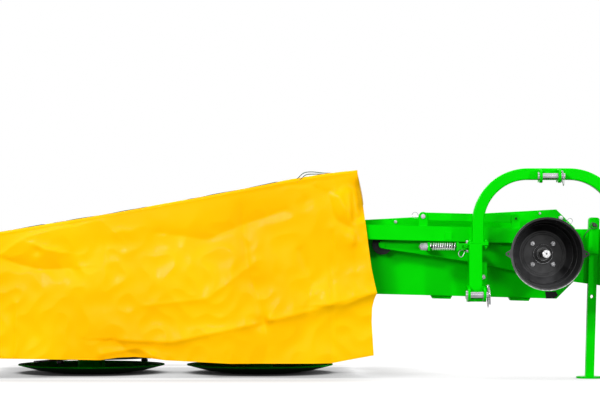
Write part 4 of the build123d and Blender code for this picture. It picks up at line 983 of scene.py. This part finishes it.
def make_frame_trim():
    """Boss on the plate's tip, stand pin with its clip, and weld beads."""
    low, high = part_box("bumper_pin")
    boss = Vector(((low.x + high.x) / 2, PLATE_FRONT, (low.z + high.z) / 2))
    rounds = [(-0.001, 0.016), (0.0035, 0.016), (0.005, 0.0148), (0.0056, 0.008), (0.0054, 0.004)]
    new_piece("bumper_boss", "main_frame", "green_paint", turned(rounds, boss, FORWARD, 36))
    hole = Vector((1.3012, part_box("stand_sleeve")[0].y, 0.6737))
    rounds = [(-0.03, 0.007), (0.0035, 0.007), (0.005, 0.0055), (0.0052, 0.002)]
    pin = turned(rounds, hole, FORWARD, 20)
    tube = turned([(-0.002, 0.0078), (-0.002, 0.0098), (0.002, 0.0098), (0.0028, 0.009), (0.0022, 0.0078)],
                  hole, FORWARD, 28, closed=True)
    new_piece("stand_pin", "stand", "knife_steel", pin, tube)
    clip = curved([hole + Vector(point) for point in (
        (0.0085, -0.006, 0.0035), (0.011, -0.007, -0.006), (0.004, -0.008, -0.0135),
        (-0.006, -0.008, -0.015), (-0.015, -0.008, -0.0095), (-0.0175, -0.007, 0.0),
        (-0.0125, -0.006, 0.0085), (-0.004, -0.005, 0.01))])
    tail = curved([hole + Vector(point) for point in (
        (-0.0085, -0.009, -0.0135), (-0.019, -0.01, -0.018), (-0.029, -0.008, -0.026),
        (-0.038, -0.004, -0.038), (-0.045, 0.004, -0.054))])
    new_piece("stand_clip", "stand", "knife_steel", wire(clip, 0.0016, 8), wire(tail, 0.0019, 8))
    y = PLATE_FRONT - 0.001
    beads = [weld((foot, y, 0.56), (top, y, high)) for foot, top, high in (
        (0.564, 0.564, 0.597), (0.574, 0.574, 0.597), (1.2745, 1.2785, 0.654), (1.321, 1.325, 0.654))]
    new_piece("frame_welds", "main_frame", "green_paint", *beads)
    beads = [weld((0.722, -0.499, z), (0.78, -0.499, z)) for z in (0.583, 0.574)]
    new_piece("lug_welds", "headstock", "green_paint", *beads)


# Cutting unit: stay pins, belt box and gear case bolts, lacing cord
STAY_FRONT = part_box("stay_brackets")[0].y
STAY_PINS = ((0.548, 0.711), (0.956, 0.7007))
BOX_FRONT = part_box("belt_box_cover")[0].y


def make_stay_trim():
    """Pin of the left stay bracket with its spring ring, bushing of the right one with a black disc painted
    as the shade in its hole, a tab on the beam and the brackets' welds.
    """
    left, right = (Vector((x, STAY_FRONT, z)) for x, z in STAY_PINS)
    rounds = [(-0.036, 0.0108), (0.0045, 0.0108), (0.0062, 0.0096), (0.0066, 0.003)]
    pin = turned(rounds, left, FORWARD, 28)
    circle = loop(left + Vector((-0.0345, 0.012, 0.006)), (0.0128, 0, 0), (0, 0, 0.0128), 26)
    split = wire(curved(circle), 0.0011, 6, closed=True)
    neck = wire([left + Vector((-0.022, 0.012, 0.004)), left + Vector((-0.008, 0.011, 0.002))], 0.0014, 6)
    new_piece("stay_pin", "cutting_unit", "zinc_plate", pin, split, neck)
    bush = turned([(-0.008, 0.0055), (-0.008, 0.0107), (0.001, 0.0107), (0.0015, 0.0098), (0.001, 0.0055)],
                  right, FORWARD, 28, closed=True)
    new_piece("stay_bush", "cutting_unit", "green_paint", bush)
    # A black disc painted as the shade inside the bushing's hole
    hole_shade = turned([(-0.0075, 0.0056), (-0.001, 0.0056), (-0.0004, 0.0045)], right, FORWARD, 20)
    new_piece("stay_hole_shade", "cutting_unit", "rubber", hole_shade)
    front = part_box("beam")[0].y
    outline = [(0.641, 0.607), (0.674, 0.6078), (0.674, 0.636), (0.669, 0.642), (0.647, 0.642),
               (0.641, 0.636)]
    new_piece("beam_tab", "cutting_unit", "green_paint", plate(outline, front + 0.001, front - 0.0028))
    y, half, down = STAY_FRONT - 0.0008, 0.019, 0.042
    beads = [weld((x - half, y, z - down + 0.0005), (x + half, y, z - down - 0.0005)) for x, z in STAY_PINS]
    new_piece("stay_welds", "cutting_unit", "green_paint", *beads)


def make_box_trim():
    """Screws of the belt box cover, its tensioner pin with a ring, and a black plate painted as the shade
    inside the opening at its lower corner.
    """
    screws = [bolt((0.433, BOX_FRONT, 0.6895), FORWARD, 0.012, 0.005)]
    screws += [bolt((x, BOX_FRONT, z), FORWARD, 0.01) for x, z in (
        (1.077, 0.7275), (0.12, 0.66), (-0.05, 0.66), (-0.23, 0.648), (-0.305, 0.56),
        (-0.305, 0.43), (0.0, 0.41), (0.2, 0.4))]
    new_piece("box_screws", "cutting_unit", "zinc_plate", *screws)
    place = Vector((1.1689, BOX_FRONT, 0.7061))
    rounds = [(-0.003, 0.0112), (0.01, 0.0112), (0.0125, 0.0095), (0.013, 0.004)]
    pin = turned(rounds, place, FORWARD, 28)
    circle = loop(place + Vector((0.04, -0.006, -0.0138)), (0.0125, 0, 0.002), (0, 0, 0.0125), 26)
    split = wire(circle, 0.0012, 6, closed=True)
    neck = wire([place + Vector((0.004, -0.006, -0.001)), place + Vector((0.0285, -0.006, -0.0105))],
                0.0015, 6)
    new_piece("box_pin", "cutting_unit", "zinc_plate", pin, split, neck)
    # A black plate painted as the shade seen through the opening
    outline = [(1.099, 0.379), (1.1, 0.37), (1.1025, 0.355), (1.103, 0.3475), (1.137, 0.3475),
               (1.143, 0.35), (1.151, 0.356), (1.159, 0.364), (1.153, 0.368), (1.149, 0.379)]
    new_piece("box_opening_shade", "cutting_unit", "rubber", plate(outline, BOX_FRONT + 0.001, BOX_FRONT - 0.0012))


def make_case_trim():
    """Bolts along the gear case cover and round the gearbox flange."""
    low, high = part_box("gear_case_cover")
    places = [(low.x + 0.1 + (high.x - low.x - 0.2) * step / 6, y, high.z)
              for step in range(7) for y in (low.y + 0.014, high.y - 0.014)]
    low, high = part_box("gearbox")
    middle = (low + high) / 2
    places += [(middle.x + across, middle.y + back, high.z)
               for across in (-0.05, 0.05) for back in (-0.055, 0.055)]
    bolts = [bolt(place, UPWARD, 0.013) for place in places]
    new_piece("case_bolts", "cutting_unit", "zinc_plate", *bolts)


def cord_point(x, rise):
    """A place just behind the apron's upper front edge, a little over it."""
    return Vector((x, FRONT_Y + 0.006, roof_height(x) + float(along(UPPER_EDGE, x)) + rise))


def make_cord():
    """Lacing cord along the apron's upper edge, threaded through eyelets, with loose ends at the corner."""
    shapes, eyes = [], []
    for first, last in ((-1.4, -1.11), (-1.079, -0.659), (-0.488, -0.089)):
        count = max(4, int((last - first) / 0.05))
        places = [first + (last - first) * step / count for step in range(count + 1)]
        outer, inner = first - 0.006, last + 0.006
        path = [cord_point(x, 0.0035 + 0.0012 * math.sin(x * 31)) for x in places]
        path = [cord_point(outer, -0.014), *path, cord_point(inner, -0.014)]
        shapes.append(wire(curved(path, 4), 0.0021, 8))
        eyes += [outer, inner]
    ends = ([(-0.02, -0.425, 0.856), (0.0, -0.427, 0.88), (0.0245, -0.424, 0.901),
             (0.0596, -0.416, 0.906), (0.1165, -0.406, 0.901), (0.2041, -0.4, 0.901),
             (0.215, -0.39, 0.895)],
            [(-0.006, -0.426, 0.86), (0.015, -0.428, 0.878), (0.038, -0.424, 0.894),
             (0.09, -0.414, 0.896), (0.16, -0.4, 0.895)])
    shapes += [wire(curved(path), 0.0019, 8) for path in ends]
    new_piece("lacing_cord", "cutting_unit", "cord", *shapes)
    profile = [(0, 0.0035), (0, 0.007), (0.0012, 0.0068), (0.0012, 0.0038)]
    rings = [turned(profile, cord_point(x, -0.005) + Vector((0, 0.004, 0)), UPWARD, 20, closed=True)
             for x in eyes]
    new_piece("eyelets", "cutting_unit", "zinc_plate", *rings)


# Drums: knife bolts
KNIFE_BOLT_RADIUS = 0.244


def make_knife_bolts():
    """Hexagon heads under the knives, and their nuts on the disc."""
    profile = [(0, 0.015), (0.003, 0.0165), (0.009, 0.0165), (0.0105, 0.015)]
    for name, body in (("inner", "inner_drum"), ("outer", "outer_drum")):
        low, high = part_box("knife_disc_" + name)
        middle = (low + high) / 2
        shapes = []
        for turn in full_turn(3):
            x = middle.x + KNIFE_BOLT_RADIUS * math.cos(turn)
            y = middle.y + KNIFE_BOLT_RADIUS * math.sin(turn)
            shapes.append(turned(profile, (x, y, 0.0515), UPWARD, 6))
            shapes.append(bolt((x, y, 0.078), UPWARD, 0.022, 0.006))
        new_piece("knife_bolts_" + name, body, "knife_steel", *shapes)


make_stage()
dress_nodes()
make_apron()
make_hitch_clips()
make_headstock_bolts()
make_hitch_webs()
make_headstock_welds()
make_bell_trim()
make_splined_stub()
make_latch_trim()
make_frame_trim()
make_stay_trim()
make_box_trim()
make_case_trim()
make_cord()
make_knife_bolts()
